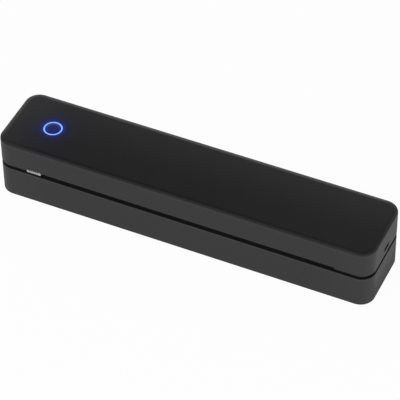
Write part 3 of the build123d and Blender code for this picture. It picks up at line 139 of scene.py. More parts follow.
# ------------------------------------------------------------------ surfaces
def rounded_plan(half_x, half_y, corner, arc=6, right=(), rear=(), left=(), front=()):
    """Columns round a rounded rectangle, counter-clockwise from its right side.

    A point of the plan moved inwards by an inset is core + normal * (corner - inset): the core is a
    corner's centre with normal (cos a, sin a), or a stop on a straight side with that side's normal.
    """
    sx, sy = half_x - corner, half_y - corner
    turn = np.linspace(0, math.pi / 2, arc + 1)

    def side(stops, along, across, normal):
        stops = np.asarray(stops, float).reshape(-1, 1)
        core = stops * np.asarray(along) + np.asarray(across)
        return core, np.tile(normal, (len(stops), 1))

    def bend(x, y, start):
        angles = turn + start
        return np.tile((x, y), (arc + 1, 1)), np.stack((np.cos(angles), np.sin(angles)), 1)

    runs = [
        side(sorted(right), (0, 1), (sx, 0), (1.0, 0.0)), bend(sx, sy, 0),
        side(sorted(rear, reverse=True), (1, 0), (0, sy), (0.0, 1.0)), bend(-sx, sy, math.pi / 2),
        side(sorted(left, reverse=True), (0, 1), (-sx, 0), (-1.0, 0.0)), bend(-sx, -sy, math.pi),
        side(sorted(front), (1, 0), (0, -sy), (0.0, -1.0)), bend(sx, -sy, 1.5 * math.pi),
    ]
    return np.concatenate([r[0] for r in runs]), np.concatenate([r[1] for r in runs])


def rings(plan, corner, profile, lift=None, centre=(0, 0)):
    """Profile rows (inset, height, share of the lift) carried round a plan: an array (rows, columns, 3)."""
    core, normal = plan
    rows = np.array([row if len(row) == 3 else (*row, 0) for row in profile], float)
    flat = core[None] + normal[None] * (corner - rows[:, 0])[:, None, None] + np.asarray(centre)
    height = rows[:, 1][:, None] + rows[:, 2][:, None] * (0 if lift is None else lift[None])
    return np.dstack((flat, np.broadcast_to(height, flat.shape[:2])))


def round_over(radius, start, stop, steps, inset=0.0, height=0.0):
    """Quarter round in (inset, height): inset + r (1 - cos a), height + r sin a, a in degrees."""
    angles = np.radians(np.linspace(start, stop, steps + 1))
    return [(inset + radius * (1 - math.cos(a)), height + radius * math.sin(a)) for a in angles]


def skin(points, closed=False, first=False, last=False):
    """Quads over a grid whose columns wrap; rows wrap too if closed, or the end rows get flat caps."""
    rows, columns = points.shape[:2]
    index = np.arange(rows * columns).reshape(rows, columns)
    low = index if closed else index[:-1]
    high = np.roll(index, -1, 0) if closed else index[1:]
    quads = np.stack((low, np.roll(low, -1, 1), np.roll(high, -1, 1), high), -1).reshape(-1, 4)
    caps = [index[0][::-1]] * first + [index[-1]] * last
    return points.reshape(-1, 3), quads, caps


def turned(profile, centre, axis="z", steps=32, closed=False):
    """Solid of revolution: rows (radius, height) turned as (r cos a, r sin a, h) about an axis."""
    rows = np.array(profile, float)
    angles = np.linspace(0, 2 * math.pi, steps, endpoint=False)
    radius, height = rows[:, :1], np.repeat(rows[:, 1:2], steps, 1)
    across, up = radius * np.cos(angles), radius * np.sin(angles)
    order = {"z": (across, up, height), "x": (height, across, up)}[axis]
    points = np.dstack(order) + np.asarray(centre, float)
    return skin(points, closed=closed, first=not closed, last=not closed)


def brick(low, high, edge=0.2, corner=None, steps=3):
    """Box with rounded edges: a rounded plan with quarter rounds at its foot and head, both capped."""
    low, high = np.asarray(low, float), np.asarray(high, float)
    half = (high - low) / 2
    corner = min(corner or edge, half[0], half[1])
    foot = [(i, 2 * low[2] + edge - h) for i, h in round_over(edge, 90, 0, steps, height=low[2])]
    head = round_over(edge, 0, 90, steps, height=high[2] - edge)
    plan = rounded_plan(half[0], half[1], corner, arc=max(steps, 3 if corner < 1 else 8))
    return skin(rings(plan, corner, foot + head, centre=(low + half)[:2]), first=True, last=True)


def prism(outline, span, edge=0.2):
    """Outline in (y, z) carried along x, with its end faces drawn in by the edge to round them over.

    Each point moves inwards along the mean of its two edge normals, by edge / cos(half the turn).
    """
    outline = np.asarray(outline, float)
    ahead = np.roll(outline, -1, 0) - outline
    ahead /= np.linalg.norm(ahead, axis=1, keepdims=True)
    normal = np.stack((ahead[:, 1], -ahead[:, 0]), 1)
    mean = normal + np.roll(normal, 1, 0)
    inward = -2 * mean / (mean ** 2).sum(1, keepdims=True)
    ends = [(edge, 0.0), (0.3 * edge, 0.3 * edge), (0.0, edge)]
    rows = [(span[0] + step, inset) for inset, step in ends]
    rows += [(span[1] - step, inset) for inset, step in reversed(ends)]
    return along_x([(x, outline + inward * inset) for x, inset in rows])


def along_x(rows):
    """Closed skin through flat outlines: rows of (x, outline in (y, z)) with as many points in each."""
    points = np.stack([np.column_stack((np.full(len(outline), x), outline)) for x, outline in rows])
    return skin(points, first=True, last=True)


def tube(path, radius, steps=10):
    """Round wire: a circle of the radius carried along a helix, in the plane across its tangent."""
    path = np.asarray(path, float)
    tangent = np.gradient(path, axis=0)
    tangent /= np.linalg.norm(tangent, axis=1, keepdims=True)
    side = np.cross(tangent, (0, 0, 1.0))
    side /= np.linalg.norm(side, axis=1, keepdims=True)
    up = np.cross(side, tangent)
    angles = np.linspace(0, 2 * math.pi, steps, endpoint=False)
    ring = side[:, None] * np.cos(angles)[None, :, None] + up[:, None] * np.sin(angles)[None, :, None]
    return skin((path[:, None] + radius * ring)[:, ::-1], first=True, last=True)


def oblong(length, height, steps=10):
    """Slot outline in (y, z), clockwise seen from +x: two half circles of the height, and straight sides."""
    reach, radius = (length - height) / 2, height / 2
    turn = np.linspace(-math.pi / 2, math.pi / 2, steps + 1)
    right = np.stack((reach + radius * np.cos(turn), radius * np.sin(turn)), 1)
    left = np.stack((-reach - radius * np.cos(turn), -radius * np.sin(turn)), 1)
    return np.concatenate((right, left))


# ------------------------------------------------------------------ meshes and pieces
def mesh_of(name, surfaces):
    """One mesh from several (points, quads, caps) surfaces, doubles merged, in metres."""
    points, faces, start = [], [], 0
    for grid, quads, caps in surfaces:
        points.append(grid)
        faces += (quads + start).tolist() + [(cap + start).tolist() for cap in caps]
        start += len(grid)
    mesh = bpy.data.meshes.new(name)
    mesh.from_pydata((np.concatenate(points) * MM).tolist(), [], faces)
    tidy = bmesh.new()
    tidy.from_mesh(mesh)
    bmesh.ops.remove_doubles(tidy, verts=tidy.verts, dist=2e-7)
    tidy.to_mesh(mesh)
    tidy.free()
    return mesh


def cut(mesh, *tools):
    """The mesh less each tool, worked out by the Boolean modifier."""
    body = bpy.data.objects.new("cut", mesh)
    bpy.context.scene.collection.objects.link(body)
    others = []
    for place, surface in enumerate(tools):
        tool = bpy.data.objects.new(f"tool{place}", mesh_of("tool", [surface]))
        bpy.context.scene.collection.objects.link(tool)
        modifier = body.modifiers.new(f"cut{place}", "BOOLEAN")
        modifier.operation, modifier.solver, modifier.object = "DIFFERENCE", "EXACT", tool
        others.append(tool)
    ready = bpy.data.meshes.new_from_object(body.evaluated_get(bpy.context.evaluated_depsgraph_get()))
    for spare in (body, *others):
        bpy.data.objects.remove(spare)
    return ready


def piece(name, shape, body, finish, stands_for=(), sharp=35):
    """Object of a mesh or of surfaces, smooth up to the sharp angle, riding on its body."""
    mesh = mesh_of(name, shape) if isinstance(shape, list) else shape
    mesh.name = name
    mesh.materials.clear()
    mesh.materials.append(finish)
    mesh.polygons.foreach_set("use_smooth", np.ones(len(mesh.polygons), bool))
    mesh.polygons.foreach_set("material_index", np.zeros(len(mesh.polygons), np.int32))
    mesh.set_sharp_from_angle(angle=math.radians(sharp))
    made = bpy.data.objects.new(name, mesh)
    bpy.context.scene.collection.objects.link(made)
    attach(made, body)
    if stands_for:
        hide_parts(*stands_for)
    return made


# ------------------------------------------------------------------ shader values
class Value:
    """A node's socket that is reckoned with as a number is."""

    def __init__(self, finish, socket):
        self.finish, self.socket = finish, socket

    def maths(self, operation, first, second=0.0):
        """Adds one Math node."""
        return self.finish.node("ShaderNodeMath", {0: first, 1: second}, operation=operation)

    def __add__(self, other):
        return self.maths("ADD", self, other)

    def __sub__(self, other):
        return self.maths("SUBTRACT", self, other)

    def __rsub__(self, other):
        return self.maths("SUBTRACT", other, self)

    def __mul__(self, other):
        return self.maths("MULTIPLY", self, other)

    def __truediv__(self, other):
        return self.maths("DIVIDE", self, other)

    def __pow__(self, other):
        return self.maths("POWER", self, other)

    def __abs__(self):
        return self.maths("ABSOLUTE", self)

    def exp(self):
        return self.maths("EXPONENT", self)

    def most(self, other):
        return self.maths("MAXIMUM", self, other)

    def least(self, other):
        return self.maths("MINIMUM", self, other)

    __radd__ = __add__
    __rmul__ = __mul__


class Finish:
    """A material while it is written: nodes that feed one principled surface."""

    def __init__(self, name, tree=None):
        if tree is None:
            self.material = bpy.data.materials.new(name)
            self.material.use_nodes = True
            tree = self.material.node_tree
        self.tree = tree
        self.tree.nodes.clear()

    def node(self, kind, sockets=None, output=0, stops=None, **settings):
        """Adds a node: its settings first, then its ramp's stops, then each socket's value or link."""
        made = self.tree.nodes.new(kind)
        for key, value in settings.items():
            setattr(made, key, value)
        if stops:
            ramp = made.color_ramp.elements
            for place, (position, colour) in enumerate(stops):
                stop = ramp[place] if place < 2 else ramp.new(position)
                stop.position, stop.color = position, (*colour, 1.0)
        for key, value in (sockets or {}).items():
            if isinstance(value, Value):
                self.tree.links.new(value.socket, made.inputs[key])
            else:
                made.inputs[key].default_value = value
        return Value(self, made.outputs[output])

    def place(self):
        """The point's object coordinates."""
        return self.node("ShaderNodeTexCoord", output="Object")

    def axis(self, letter):
        """One object coordinate, in metres."""
        return self.node("ShaderNodeSeparateXYZ", {0: self.place()}, output=letter)

    def noise(self, scale, detail=2.0, rough=0.5, stretch=(1, 1, 1)):
        """Noise from 0 to 1 with this many waves a metre, drawn out along an axis by the stretch."""
        spot = self.node("ShaderNodeMapping", {"Vector": self.place(), "Scale": stretch})
        sockets = {"Vector": spot, "Scale": scale, "Detail": detail, "Roughness": rough}
        return self.node("ShaderNodeTexNoise", sockets)

    def mix(self, share, first, second):
        """Colour between two colours."""
        ends = [(*c, 1.0) if isinstance(c, tuple) else c for c in (first, second)]
        return self.node("ShaderNodeMix", {0: share, 6: ends[0], 7: ends[1]}, output=2, data_type="RGBA")

    def step(self, value, low, high):
        """0 below low, 1 above high, smooth between."""
        return self.node("ShaderNodeMapRange", {"Value": value, "From Min": low, "From Max": high},
                         interpolation_type="SMOOTHSTEP")

    def bump(self, height, depth, normal=None):
        """Normal of a surface raised by height (0 to 1) times the depth in millimetres."""
        sockets = {"Height": height, "Distance": depth * MM, "Strength": 1.0}
        if normal is not None:
            sockets["Normal"] = normal
        return self.node("ShaderNodeBump", sockets)

    def surface(self, **sockets):
        """Closes the material with a principled surface; underscores in socket names stand for spaces."""
        named = {}
        for key, value in sockets.items():
            named[key.replace("_", " ")] = (*value, 1.0) if isinstance(value, tuple) else value
        self.close(self.node("ShaderNodeBsdfPrincipled", named))
        return self.material

    def close(self, shader, kind="ShaderNodeOutputMaterial"):
        """Links the last shader to the output."""
        self.tree.links.new(shader.socket, self.tree.nodes.new(kind).inputs["Surface"])


# ------------------------------------------------------------------ materials
PAINTED_EDGE_HIGHLIGHT = (0.06, 0.06, 0.06)     # painted highlight along the rims, paler than the mouldings they belong to


def tint(colour, share):
    """The colour made darker or lighter by a share, at most white."""
    return tuple(min(share * c, 1.0) for c in colour)


def spark_texture(f):
    """A moulding's slow drift in tone, its fine grain, and the height of its surface."""
    drift, fine = f.noise(38.0, 3.0), f.noise(5200.0, 3.0, 0.6)
    return drift, fine, fine + 0.5 * f.noise(1900.0, 2.0)


def inner_plastic(name):
    """Mouldings inside the case: dark plastic, darker than the case as painted shade, with a fine grain and
    a slow drift in tone and roughness.
    """
    f = Finish(name)
    drift, fine, grain = spark_texture(f)
    # painted shade: the colour is set darker than the case's to stand for the shade inside the outlet
    colour = (0.017, 0.017, 0.0173)
    return f.surface(
        Base_Color=f.mix(drift * 0.75 + fine * 0.25, tint(colour, 0.86), tint(colour, 1.12)),
        Roughness=0.46 + 0.08 * drift + 0.06 * (fine - 0.5),
        Specular_IOR_Level=0.3,
        Normal=f.bump(grain, 0.006),
    )


def edge_inset(f):
    """Millimetres in from the case's plan.

    It is corner - |max(q, 0)| - min(max(qx, qy), 0), with q = |p| - half + corner.
    """
    x, y = (abs(f.axis(letter)) / MM - (half - CORNER) for letter, half in zip("XY", HALF))
    ahead, aside = x.most(0.0), y.most(0.0)
    return CORNER - (ahead * ahead + aside * aside) ** 0.5 - x.most(y).least(0.0)


def ring_reach(f):
    """Millimetres from the button's centre."""
    x, y = f.axis("X") / MM - BUTTON[0], f.axis("Y") / MM - BUTTON[1]
    return (x * x + y * y) ** 0.5


def case_grey(f, drift, fine):
    """Grey of the case's sides, paler towards both ends."""
    paler_ends = 0.7 * f.step(abs(f.axis("X")) / MM, 105.0, 152.0)
    return f.mix(drift * 0.5 + fine * 0.25 + paler_ends, (0.0268, 0.0268, 0.0270), (0.0348, 0.0348, 0.0350))


def cover_plastic(name, top_only):
    """Cover and button: textured sides with a painted highlight line, and a darker, smoother top with the
    ring's light painted on it.

    The ring's light is painted on as emission that falls with the distance d from it, as a + b exp(-d / p)
    on the button and as a exp(-d / p) + b exp(-d / q) round it. The top's shading leans outwards near its
    edge, as a soft crown: height 1 - max(1 - inset / width, 0)^1.4; its colour is painted paler there too,
    as a highlight along the top's edge.
    """
    f = Finish(name)
    drift, fine, grain = spark_texture(f)
    height, inset, reach = f.axis("Z") / MM - TOP, edge_inset(f), ring_reach(f)
    on_top = 1.0 if top_only else f.step(height, -0.62, -0.02)
    # a painted highlight line under the top's round; painted shade on the shell's inside; and the top
    # painted paler to its rear and its ends, as a painted reflection
    highlight_band = f.step(height, -3.1, -2.7) - f.step(height, -2.1, -1.7)
    within = f.step(inset, 0.30, 0.45) * (1.0 - f.step(height, -1.2, -0.7))
    along, aback = f.axis("X"), f.axis("Y")
    painted_reflection = 0.62 * f.step(aback, -0.015, 0.034) + 0.70 * f.step(along, -0.112, -0.158)
    painted_reflection += 0.20 * f.step(along, -0.02, 0.155)
    flat = f.mix(drift * 0.05 + painted_reflection, (0.0134, 0.0132, 0.0151), (0.0370, 0.0367, 0.0390))
    # a rougher band on the round itself, and the crown's lean, which also paints the top paler near its edge
    # as a highlight
    matt = f.step(height, -1.30, -0.75) - f.step(height, -0.30, -0.03)
    crown = (1.0 - inset.most(1.0) / 4.2).most(0.0)
    side = f.mix(0.35 * highlight_band, case_grey(f, drift, fine), PAINTED_EDGE_HIGHLIGHT)
    tone = f.mix(on_top * (1.0 - 0.25 * crown), side, flat)
    # painted light: the ring's glow on the top and on the button is emission, falling off away from the ring
    inner, outer = (RING[0] - reach).most(0.0), (reach - RING[1]).most(0.0)
    inside = 0.058 + 0.206 * (inner / -1.6).exp()
    outside = 0.33 * (outer / -0.8).exp() + 0.068 * (outer / -4.1).exp()
    spill = (inside if top_only else outside) * on_top
    return f.surface(
        Base_Color=f.mix(0.0 if top_only else within, tone, (0.014, 0.014, 0.0142)),
        Roughness=0.58 + 0.06 * (drift + fine - 1.0) - 0.24 * on_top + 0.50 * matt,
        Specular_IOR_Level=0.26,
        Emission_Color=f.mix(spill, (0.0, 0.0, 0.0), (0.0, 0.06, 1.0)),
        Emission_Strength=1.0,
        Normal=f.bump(grain * (1.0 - 0.7 * on_top), 0.012, f.bump(1.0 - crown ** 1.4, 0.90)),
    )


def base_plastic(name):
    """Lower casing: textured outside, a painted highlight on its rim, painted shade inside and low on its
    end faces.
    """
    f = Finish(name)
    drift, fine, grain = spark_texture(f)
    height, inset = f.axis("Z") / MM, edge_inset(f)
    # painted highlight: a paler band along the rim's outer round, where light catches it
    highlight_band = f.step(height, BASE_RIM - 1.0, BASE_RIM - 0.7)
    # painted shade: the end faces darken towards the foot, standing for the shadowed floor reflected in them
    low = f.step(abs(f.axis("X")) / MM, HALF[0] - 1.5, HALF[0] - 0.1) * f.step(height, 26.0, 2.0)
    side = f.mix(0.80 * highlight_band, case_grey(f, drift, fine), PAINTED_EDGE_HIGHLIGHT)
    tone = f.mix(0.20 * low, side, (0.008, 0.008, 0.008))
    # painted shade: the rim's flat top and the tub's inside are darkened
    within = f.step(inset, 0.25, 0.33) * f.step(height, 1.2, 1.8)
    return f.surface(
        Base_Color=f.mix(within, tone, (0.015, 0.015, 0.0152)),
        Roughness=0.58 + 0.06 * (drift + fine - 1.0) + 0.14 * low,
        Specular_IOR_Level=0.26,
        Normal=f.bump(grain, 0.012),
    )


def metal(name, colour, rough, stretch=(1, 1, 1), streak=900.0, depth=0.003):
    """Plain or brushed metal: streaks drawn out along an axis, and a slow cloud in its brightness."""
    f = Finish(name)
    lines = f.noise(streak, 3.0, 0.6, stretch)
    cloud = f.noise(60.0, 2.0)
    return f.surface(
        Base_Color=f.mix(0.5 * lines + 0.5 * cloud, tint(colour, 0.9), tint(colour, 1.1)),
        Metallic=1.0,
        Roughness=rough - 0.07 + 0.14 * lines,
        Normal=f.bump(lines, depth),
    )


def rubber(name, colour, rough, stretch, depth):
    """Ground rubber: matt, with fine scratches drawn out across the grinding."""
    f = Finish(name)
    scratch = f.noise(2600.0, 3.0, 0.65, stretch)
    dust = f.step(f.noise(420.0, 4.0, 0.7), 0.56, 0.80)
    return f.surface(
        Base_Color=f.mix(0.6 * scratch + 0.4 * dust, colour, tint(colour, 1.7)),
        Roughness=rough - 0.05 + 0.10 * scratch,
        Specular_IOR_Level=0.3,
        Normal=f.bump(scratch, depth),
    )


def resin(name, colour, rough, mottle=0.08):
    """Bare engineering plastic, as of gears and bushes: even colour, flow marks and a faint sheen."""
    f = Finish(name)
    flow = f.noise(240.0, 4.0, 0.6)
    return f.surface(
        Base_Color=f.mix(flow, tint(colour, 1 - mottle), colour),
        Roughness=rough - 0.05 + 0.1 * flow,
        Normal=f.bump(f.noise(3000.0, 2.0), 0.004),
    )


def circuit(name):
    """Solder mask over copper: tracks as steps of a cell pattern, with tinned pads."""
    f = Finish(name)
    spot = f.place()
    cells = f.node("ShaderNodeTexVoronoi", {"Vector": spot, "Scale": 520.0}, distance="MANHATTAN")
    tracks = f.node("ShaderNodeTexVoronoi", {"Vector": spot, "Scale": 260.0}, feature="DISTANCE_TO_EDGE")
    track = f.step(tracks, 0.16, 0.10)
    pad = f.step(cells, 0.22, 0.18) * f.step(f.noise(170.0), 0.55, 0.60)
    mask = f.mix(track, (0.006, 0.060, 0.026), (0.012, 0.105, 0.045))
    return f.surface(
        Base_Color=f.mix(pad, mask, (0.62, 0.58, 0.48)),
        Metallic=0.9 * pad,
        Roughness=0.30 + 0.12 * f.noise(900.0),
        Normal=f.bump(track + pad, 0.03),
    )


def sleeve(name, centre):
    """Shrink sleeve on the cells, bare plated steel on their ends inside the sleeve's rolled edge."""
    f = Finish(name)
    y, z = f.axis("Y") - centre[0] * MM, f.axis("Z") - centre[1] * MM
    reach = (y * y + z * z) ** 0.5
    bare = 1.0 - f.step(reach, 7.7 * MM, 7.9 * MM)
    crease = f.noise(300.0, 3.0, 0.6, (0.25, 1, 1))
    wrap = f.mix(crease, (0.016, 0.075, 0.26), (0.024, 0.105, 0.34))
    return f.surface(
        Base_Color=f.mix(bare, wrap, (0.60, 0.60, 0.58)),
        Metallic=bare,
        Roughness=0.22 + 0.16 * crease,
        Normal=f.bump(crease, 0.05),
    )


def lit_ring(name):
    """Light guide: brightest along the middle of its face, deeper blue towards both edges and below."""
    f = Finish(name)
    middle, half = (RING[0] + RING[1]) / 2 + 0.10, (RING[1] - RING[0]) / 2 - 0.15
    core = f.step(abs(ring_reach(f) - middle) / half, 1.15, 0.25)
    face = f.step(f.axis("Z") / MM, TOP - 1.2, TOP - 0.3)
    cloud = f.noise(260.0, 2.0)
    return f.surface(
        Base_Color=f.mix(cloud, (0.10, 0.20, 0.42), (0.14, 0.26, 0.50)),
        Roughness=0.30 + 0.1 * cloud,
        Emission_Color=f.mix(face * core, (0.03, 0.13, 0.60), (0.28, 0.56, 1.0)),
        Emission_Strength=1.0,
    )


def silver_lacquer(name):
    """Silver lacquer over ribbed plastic: metal flakes, with painted shade down in the grooves."""
    f = Finish(name)
    flake = f.node("ShaderNodeTexVoronoi", {"Vector": f.place(), "Scale": 9000.0}, output="Distance")
    # painted shade: darker down in the grooves, set back from the front
    depth = f.step(f.axis("Y"), (slider_low.y + 0.34) * MM, (slider_low.y + 0.05) * MM)
    lit = f.mix(flake, (0.40, 0.40, 0.405), (0.51, 0.51, 0.515))
    return f.surface(
        Base_Color=f.mix(depth, (0.12, 0.12, 0.122), lit),
        Metallic=0.55,
        Roughness=0.42 - 0.08 * flake,
        Normal=f.bump(flake, 0.004),
    )


def heater_ceramic(name):
    """Print head: pale ceramic, a dark glassy ridge with the heater line, and fine electrode stripes."""
    f = Finish(name)
    y = f.axis("Y") - ROLLER[0] * MM
    off = abs(y)
    glaze = f.step(off, 1.45 * MM, 1.15 * MM)
    heater = f.step(off, 0.30 * MM, 0.18 * MM)
    stripe = f.node("ShaderNodeTexWave", {"Vector": f.place(), "Scale": 620.0}, wave_type="BANDS",
                    bands_direction="X")
    leads = f.step(stripe, 0.45, 0.60) * (1.0 - glaze) * f.step(y, 0.0, 1.4 * MM)
    plain = f.mix(f.noise(900.0, 3.0), (0.62, 0.60, 0.53), (0.70, 0.68, 0.61))
    traced = f.mix(leads, plain, (0.55, 0.36, 0.12))
    glazed = f.mix(glaze, traced, (0.050, 0.034, 0.022))
    return f.surface(
        Base_Color=f.mix(heater, glazed, (0.012, 0.010, 0.009)),
        Metallic=0.7 * leads,
        Roughness=0.38 - 0.26 * glaze + 0.04 * f.noise(1400.0),
        Normal=f.bump(stripe, 0.002),
    )


case_black = base_plastic("case_black")
cover_black = cover_plastic("cover_black", top_only=False)
button_black = cover_plastic("button_black", top_only=True)
inner_black = inner_plastic("inner_black")
sheet_steel = metal("sheet_steel", (0.56, 0.57, 0.58), 0.36, (0.4, 1, 1), 700.0, 0.004)
ground_steel = metal("ground_steel", (0.60, 0.60, 0.61), 0.24, (6, 1, 1), 900.0, 0.003)
spring_steel = metal("spring_steel", (0.48, 0.48, 0.49), 0.28)
motor_plate = metal("motor_plate", (0.46, 0.46, 0.47), 0.38, (1, 1, 1), 1500.0, 0.006)
screw_zinc = metal("screw_zinc", (0.62, 0.62, 0.60), 0.30)
screw_dark = metal("screw_dark", (0.055, 0.055, 0.058), 0.36)
sink_metal = metal("sink_metal", (0.72, 0.73, 0.74), 0.34, (0.06, 1, 1), 1400.0, 0.006)
brass = metal("brass", (0.72, 0.52, 0.22), 0.26, (6, 1, 1), 900.0, 0.003)
socket_metal = metal("socket_metal", (0.10, 0.10, 0.103), 0.34)
contact_gold = metal("contact_gold", (0.80, 0.60, 0.26), 0.22)
roller_rubber = rubber("roller_rubber", (0.026, 0.026, 0.027), 0.74, (5, 1, 1), 0.010)
feet_rubber = rubber("feet_rubber", (0.030, 0.030, 0.030), 0.82, (1, 1, 1), 0.020)
gear_white = resin("gear_white", (0.78, 0.78, 0.74), 0.38)
bush_white = resin("bush_white", (0.80, 0.79, 0.74), 0.42)
chip_black = resin("chip_black", (0.020, 0.020, 0.021), 0.42, 0.25)
sensor_black = resin("sensor_black", (0.014, 0.010, 0.012), 0.20, 0.2)
driver_black = resin("driver_black", (0.016, 0.016, 0.017), 0.28, 0.2)
board_green = circuit("board_green")
ring_blue = lit_ring("ring_blue")
silver = silver_lacquer("silver")
ceramic = heater_ceramic("ceramic")


# ------------------------------------------------------------------ cover
def spokes(edge_y):
    """X places on a long side that look evenly spread from the button: x = bx + d tan a."""
    away = abs(edge_y - BUTTON[1])
    places = BUTTON[0] + away * np.tan(np.radians(np.arange(-76, 77, 4)))
    limit = HALF[0] - CORNER - SUPPORT
    return [x for x in places if abs(x) < limit - 0.5]


def case_plan(slot_steps):
    """Columns of the case's plan: fine corners, strips beside them, spokes, and pairs at the slot's ends."""
    limit_x, limit_y = HALF[0] - CORNER - SUPPORT, HALF[1] - CORNER - SUPPORT
    long_side = [-limit_x, limit_x, -40.0, 0.0, 40.0, 80.0]
    ends = [-limit_y, limit_y, -12.0, -6.0, 0.0, 6.0, 12.0]
    steps = [edge + side for edge in SLOT for side in (-0.004, 0.004)] if slot_steps else []
    top_edge = HALF[1] - TOP_ROUND - SUPPORT
    front = spokes(-top_edge) + long_side + steps
    rear = spokes(top_edge) + long_side
    return rounded_plan(*HALF, CORNER, 14, right=ends, rear=rear, left=ends, front=front)


def cover_shell():
    """Outer and inner skin of the cover as one closed sheet.

    The profile runs up the wall, over the top's round, in to the ring's opening, down through it, out
    under the roof and down the inner wall. Between the walls and the opening each column runs straight
    to the opening's circle, at the angle at which it is seen from the button.
    """
    plan = case_plan(slot_steps=True)
    core, normal = plan
    in_slot = (normal[:, 1] < -0.999) & (core[:, 0] > SLOT[0]) & (core[:, 0] < SLOT[1])
    lift = in_slot * SLOT_LIFT
    outside = [(EDGE, COVER_RIM, 1), (0.3 * EDGE, COVER_RIM + 0.3 * EDGE, 1), (0, COVER_RIM + EDGE, 1),
               (0, COVER_RIM + EDGE + SUPPORT, 1), (0, 36.0), (0, 44.0), (0, TOP - TOP_ROUND - SUPPORT)]
    outside += round_over(TOP_ROUND, 0, 90, 9, height=TOP - TOP_ROUND) + [(TOP_ROUND + SUPPORT, TOP)]
    inside = [(WALL + SUPPORT, ROOF), (WALL, ROOF), (WALL, ROOF - SUPPORT), (WALL, 40.0),
              (WALL, COVER_RIM + EDGE + SUPPORT, 1), (WALL, COVER_RIM + EDGE, 1),
              (WALL - 0.3 * EDGE, COVER_RIM + 0.3 * EDGE, 1), (WALL - EDGE, COVER_RIM, 1)]
    outer, inner = rings(plan, CORNER, outside, lift), rings(plan, CORNER, inside, lift)
    look = outer[-1, :, :2] - np.array(BUTTON)
    look /= np.linalg.norm(look, axis=1, keepdims=True)
    rim = RING[1]
    hole = [(rim + 0.8, TOP), (rim + 0.12, TOP), (rim + 0.03, TOP - 0.04), (rim, TOP - 0.12),
            (rim, ROOF), (rim + 0.8, ROOF)]
    opening = np.stack([np.column_stack((np.array(BUTTON) + radius * look, np.full(len(look), height)))
                        for radius, height in hole])
    return skin(np.concatenate((outer, opening, inner)), closed=True)


def hinge_spans(outer):
    """X limits of the outer knuckles, on the base, or the inner ones, on the cover."""
    far = KNUCKLE_END if outer else KNUCKLE_END - KNUCKLE_WIDTH - GAP
    return [(-far, KNUCKLE_WIDTH - far), (far - KNUCKLE_WIDTH, far)]


def knuckle(span, foot, head):
    """Hinge barrel flush with the rear face: a D outline, its round on the side away from the web.

    The round is the axis + s r (cos a, sin a), with s = 1 on a web that stands and -1 on one that hangs.
    """
    hangs = head > HINGE[1]
    reach, end = (-HINGE_RADIUS, head) if hangs else (HINGE_RADIUS, foot)
    arc = np.radians(np.linspace(0, 180, 17))
    barrel = np.array(HINGE) + reach * np.stack((np.cos(arc), np.sin(arc)), 1)
    web = [[(HINGE[0] + side * reach, end)] for side in (1, -1)]
    return prism(np.concatenate((web[0], barrel, web[1])), span, EDGE)


def socket_hole():
    """Flared cutter for the charging socket: the oblong outline grown by each row's offset along x."""
    rows = [(150.0, 0.0), (154.84, 0.0), (155.0, 0.12), (155.8, 0.92)]
    return along_x([(x, oblong(9.9 + 2 * grow, 4.0 + 2 * grow) + SOCKET) for x, grow in rows])


def block(x, y, z):
    """Sharp box between pairs of limits, to cut with."""
    return brick((x[0], y[0], z[0]), (x[1], y[1], z[1]), 0.001, steps=1)


def boss(x, y, z, radius, bore):
    """Upright tube with a chamfered rim."""
    chamfer = 0.2
    rows = [(bore, z[0]), (radius - chamfer, z[0]), (radius, z[0] + chamfer), (radius, z[1]), (bore, z[1])]
    return turned(rows, (x, y, 0), steps=24, closed=True)


def build_cover():
    """Cover's shell less the socket's opening and the hinge notches, and what is moulded inside it."""
    notches = [block((a - GAP, b + GAP), (HINGE[0] - HINGE_RADIUS - GAP, 33.0), (29.0, HINGE[1] + 3.7))
               for a, b in hinge_spans(outer=True)]
    shell = cut(mesh_of("cover_shell", [cover_shell()]), socket_hole(), *notches)
    piece("cover_shell", shell, "cover", cover_black, ["upper_cover"])
    rooted = ROOF + 0.3
    inner = [knuckle(span, HINGE[1], COVER_RIM + 5.0) for span in hinge_spans(outer=False)]
    inner += [boss(x, y, (LINER_TOP + 1.6, rooted), 3.0, 1.15) for x, y in LINER_SCREWS]
    inner += [boss(x, y, (BRACKET_TOP, rooted), 3.0, 0.9) for x in (-94.5, 102.5) for y in (-9.5, 7.5)]
    inner += [boss(x, y, (BUTTON_BOARD_TOP, rooted), 1.5, 0.45)
              for x in (BUTTON[0] - 10.0, BUTTON[0] + 10.0) for y in (BUTTON[1] - 9.0, BUTTON[1] + 9.0)]
    inner += [brick((x, -29.3, ROOF - 2.6), (x + 1.4, 29.3, rooted), 0.2) for x in rib_places()]
    piece("cover_bosses", inner, "cover", inner_black, ())


def rib_places():
    """Left faces of the ribs under the roof."""
    start, stop, pitch = BUTTON[0] + 12.2, HALF[0] - WALL, 42.0
    count = int((stop - start) // pitch)
    first = (start + stop - count * pitch) / 2
    return [first + pitch * step for step in range(count)]


# ------------------------------------------------------------------ lower casing
def base_shell():
    """Lower tub as one closed sheet: from under the floor, up the wall, over the rim and down inside."""
    plan = case_plan(slot_steps=False)
    foot = [(inset, 2 * BASE_FOOT + FOOT_ROUND - height)
            for inset, height in round_over(FOOT_ROUND, 90, 0, 6, height=BASE_FOOT)]
    profile = [(FOOT_ROUND + SUPPORT, BASE_FOOT), *foot, (0, BASE_FOOT + FOOT_ROUND + SUPPORT), (0, 12.0),
               (0, BASE_RIM - EDGE - SUPPORT), (0, BASE_RIM - EDGE), (0.3 * EDGE, BASE_RIM - 0.3 * EDGE),
               (EDGE, BASE_RIM), (WALL - EDGE, BASE_RIM), (WALL - 0.3 * EDGE, BASE_RIM - 0.3 * EDGE),
               (WALL, BASE_RIM - EDGE), (WALL, BASE_RIM - EDGE - SUPPORT), (WALL, 10.0),
               (WALL, BASE_FLOOR + 0.5), (WALL + 0.15, BASE_FLOOR + 0.15), (WALL + 0.5, BASE_FLOOR)]
    return skin(rings(plan, CORNER, profile), first=True, last=True)


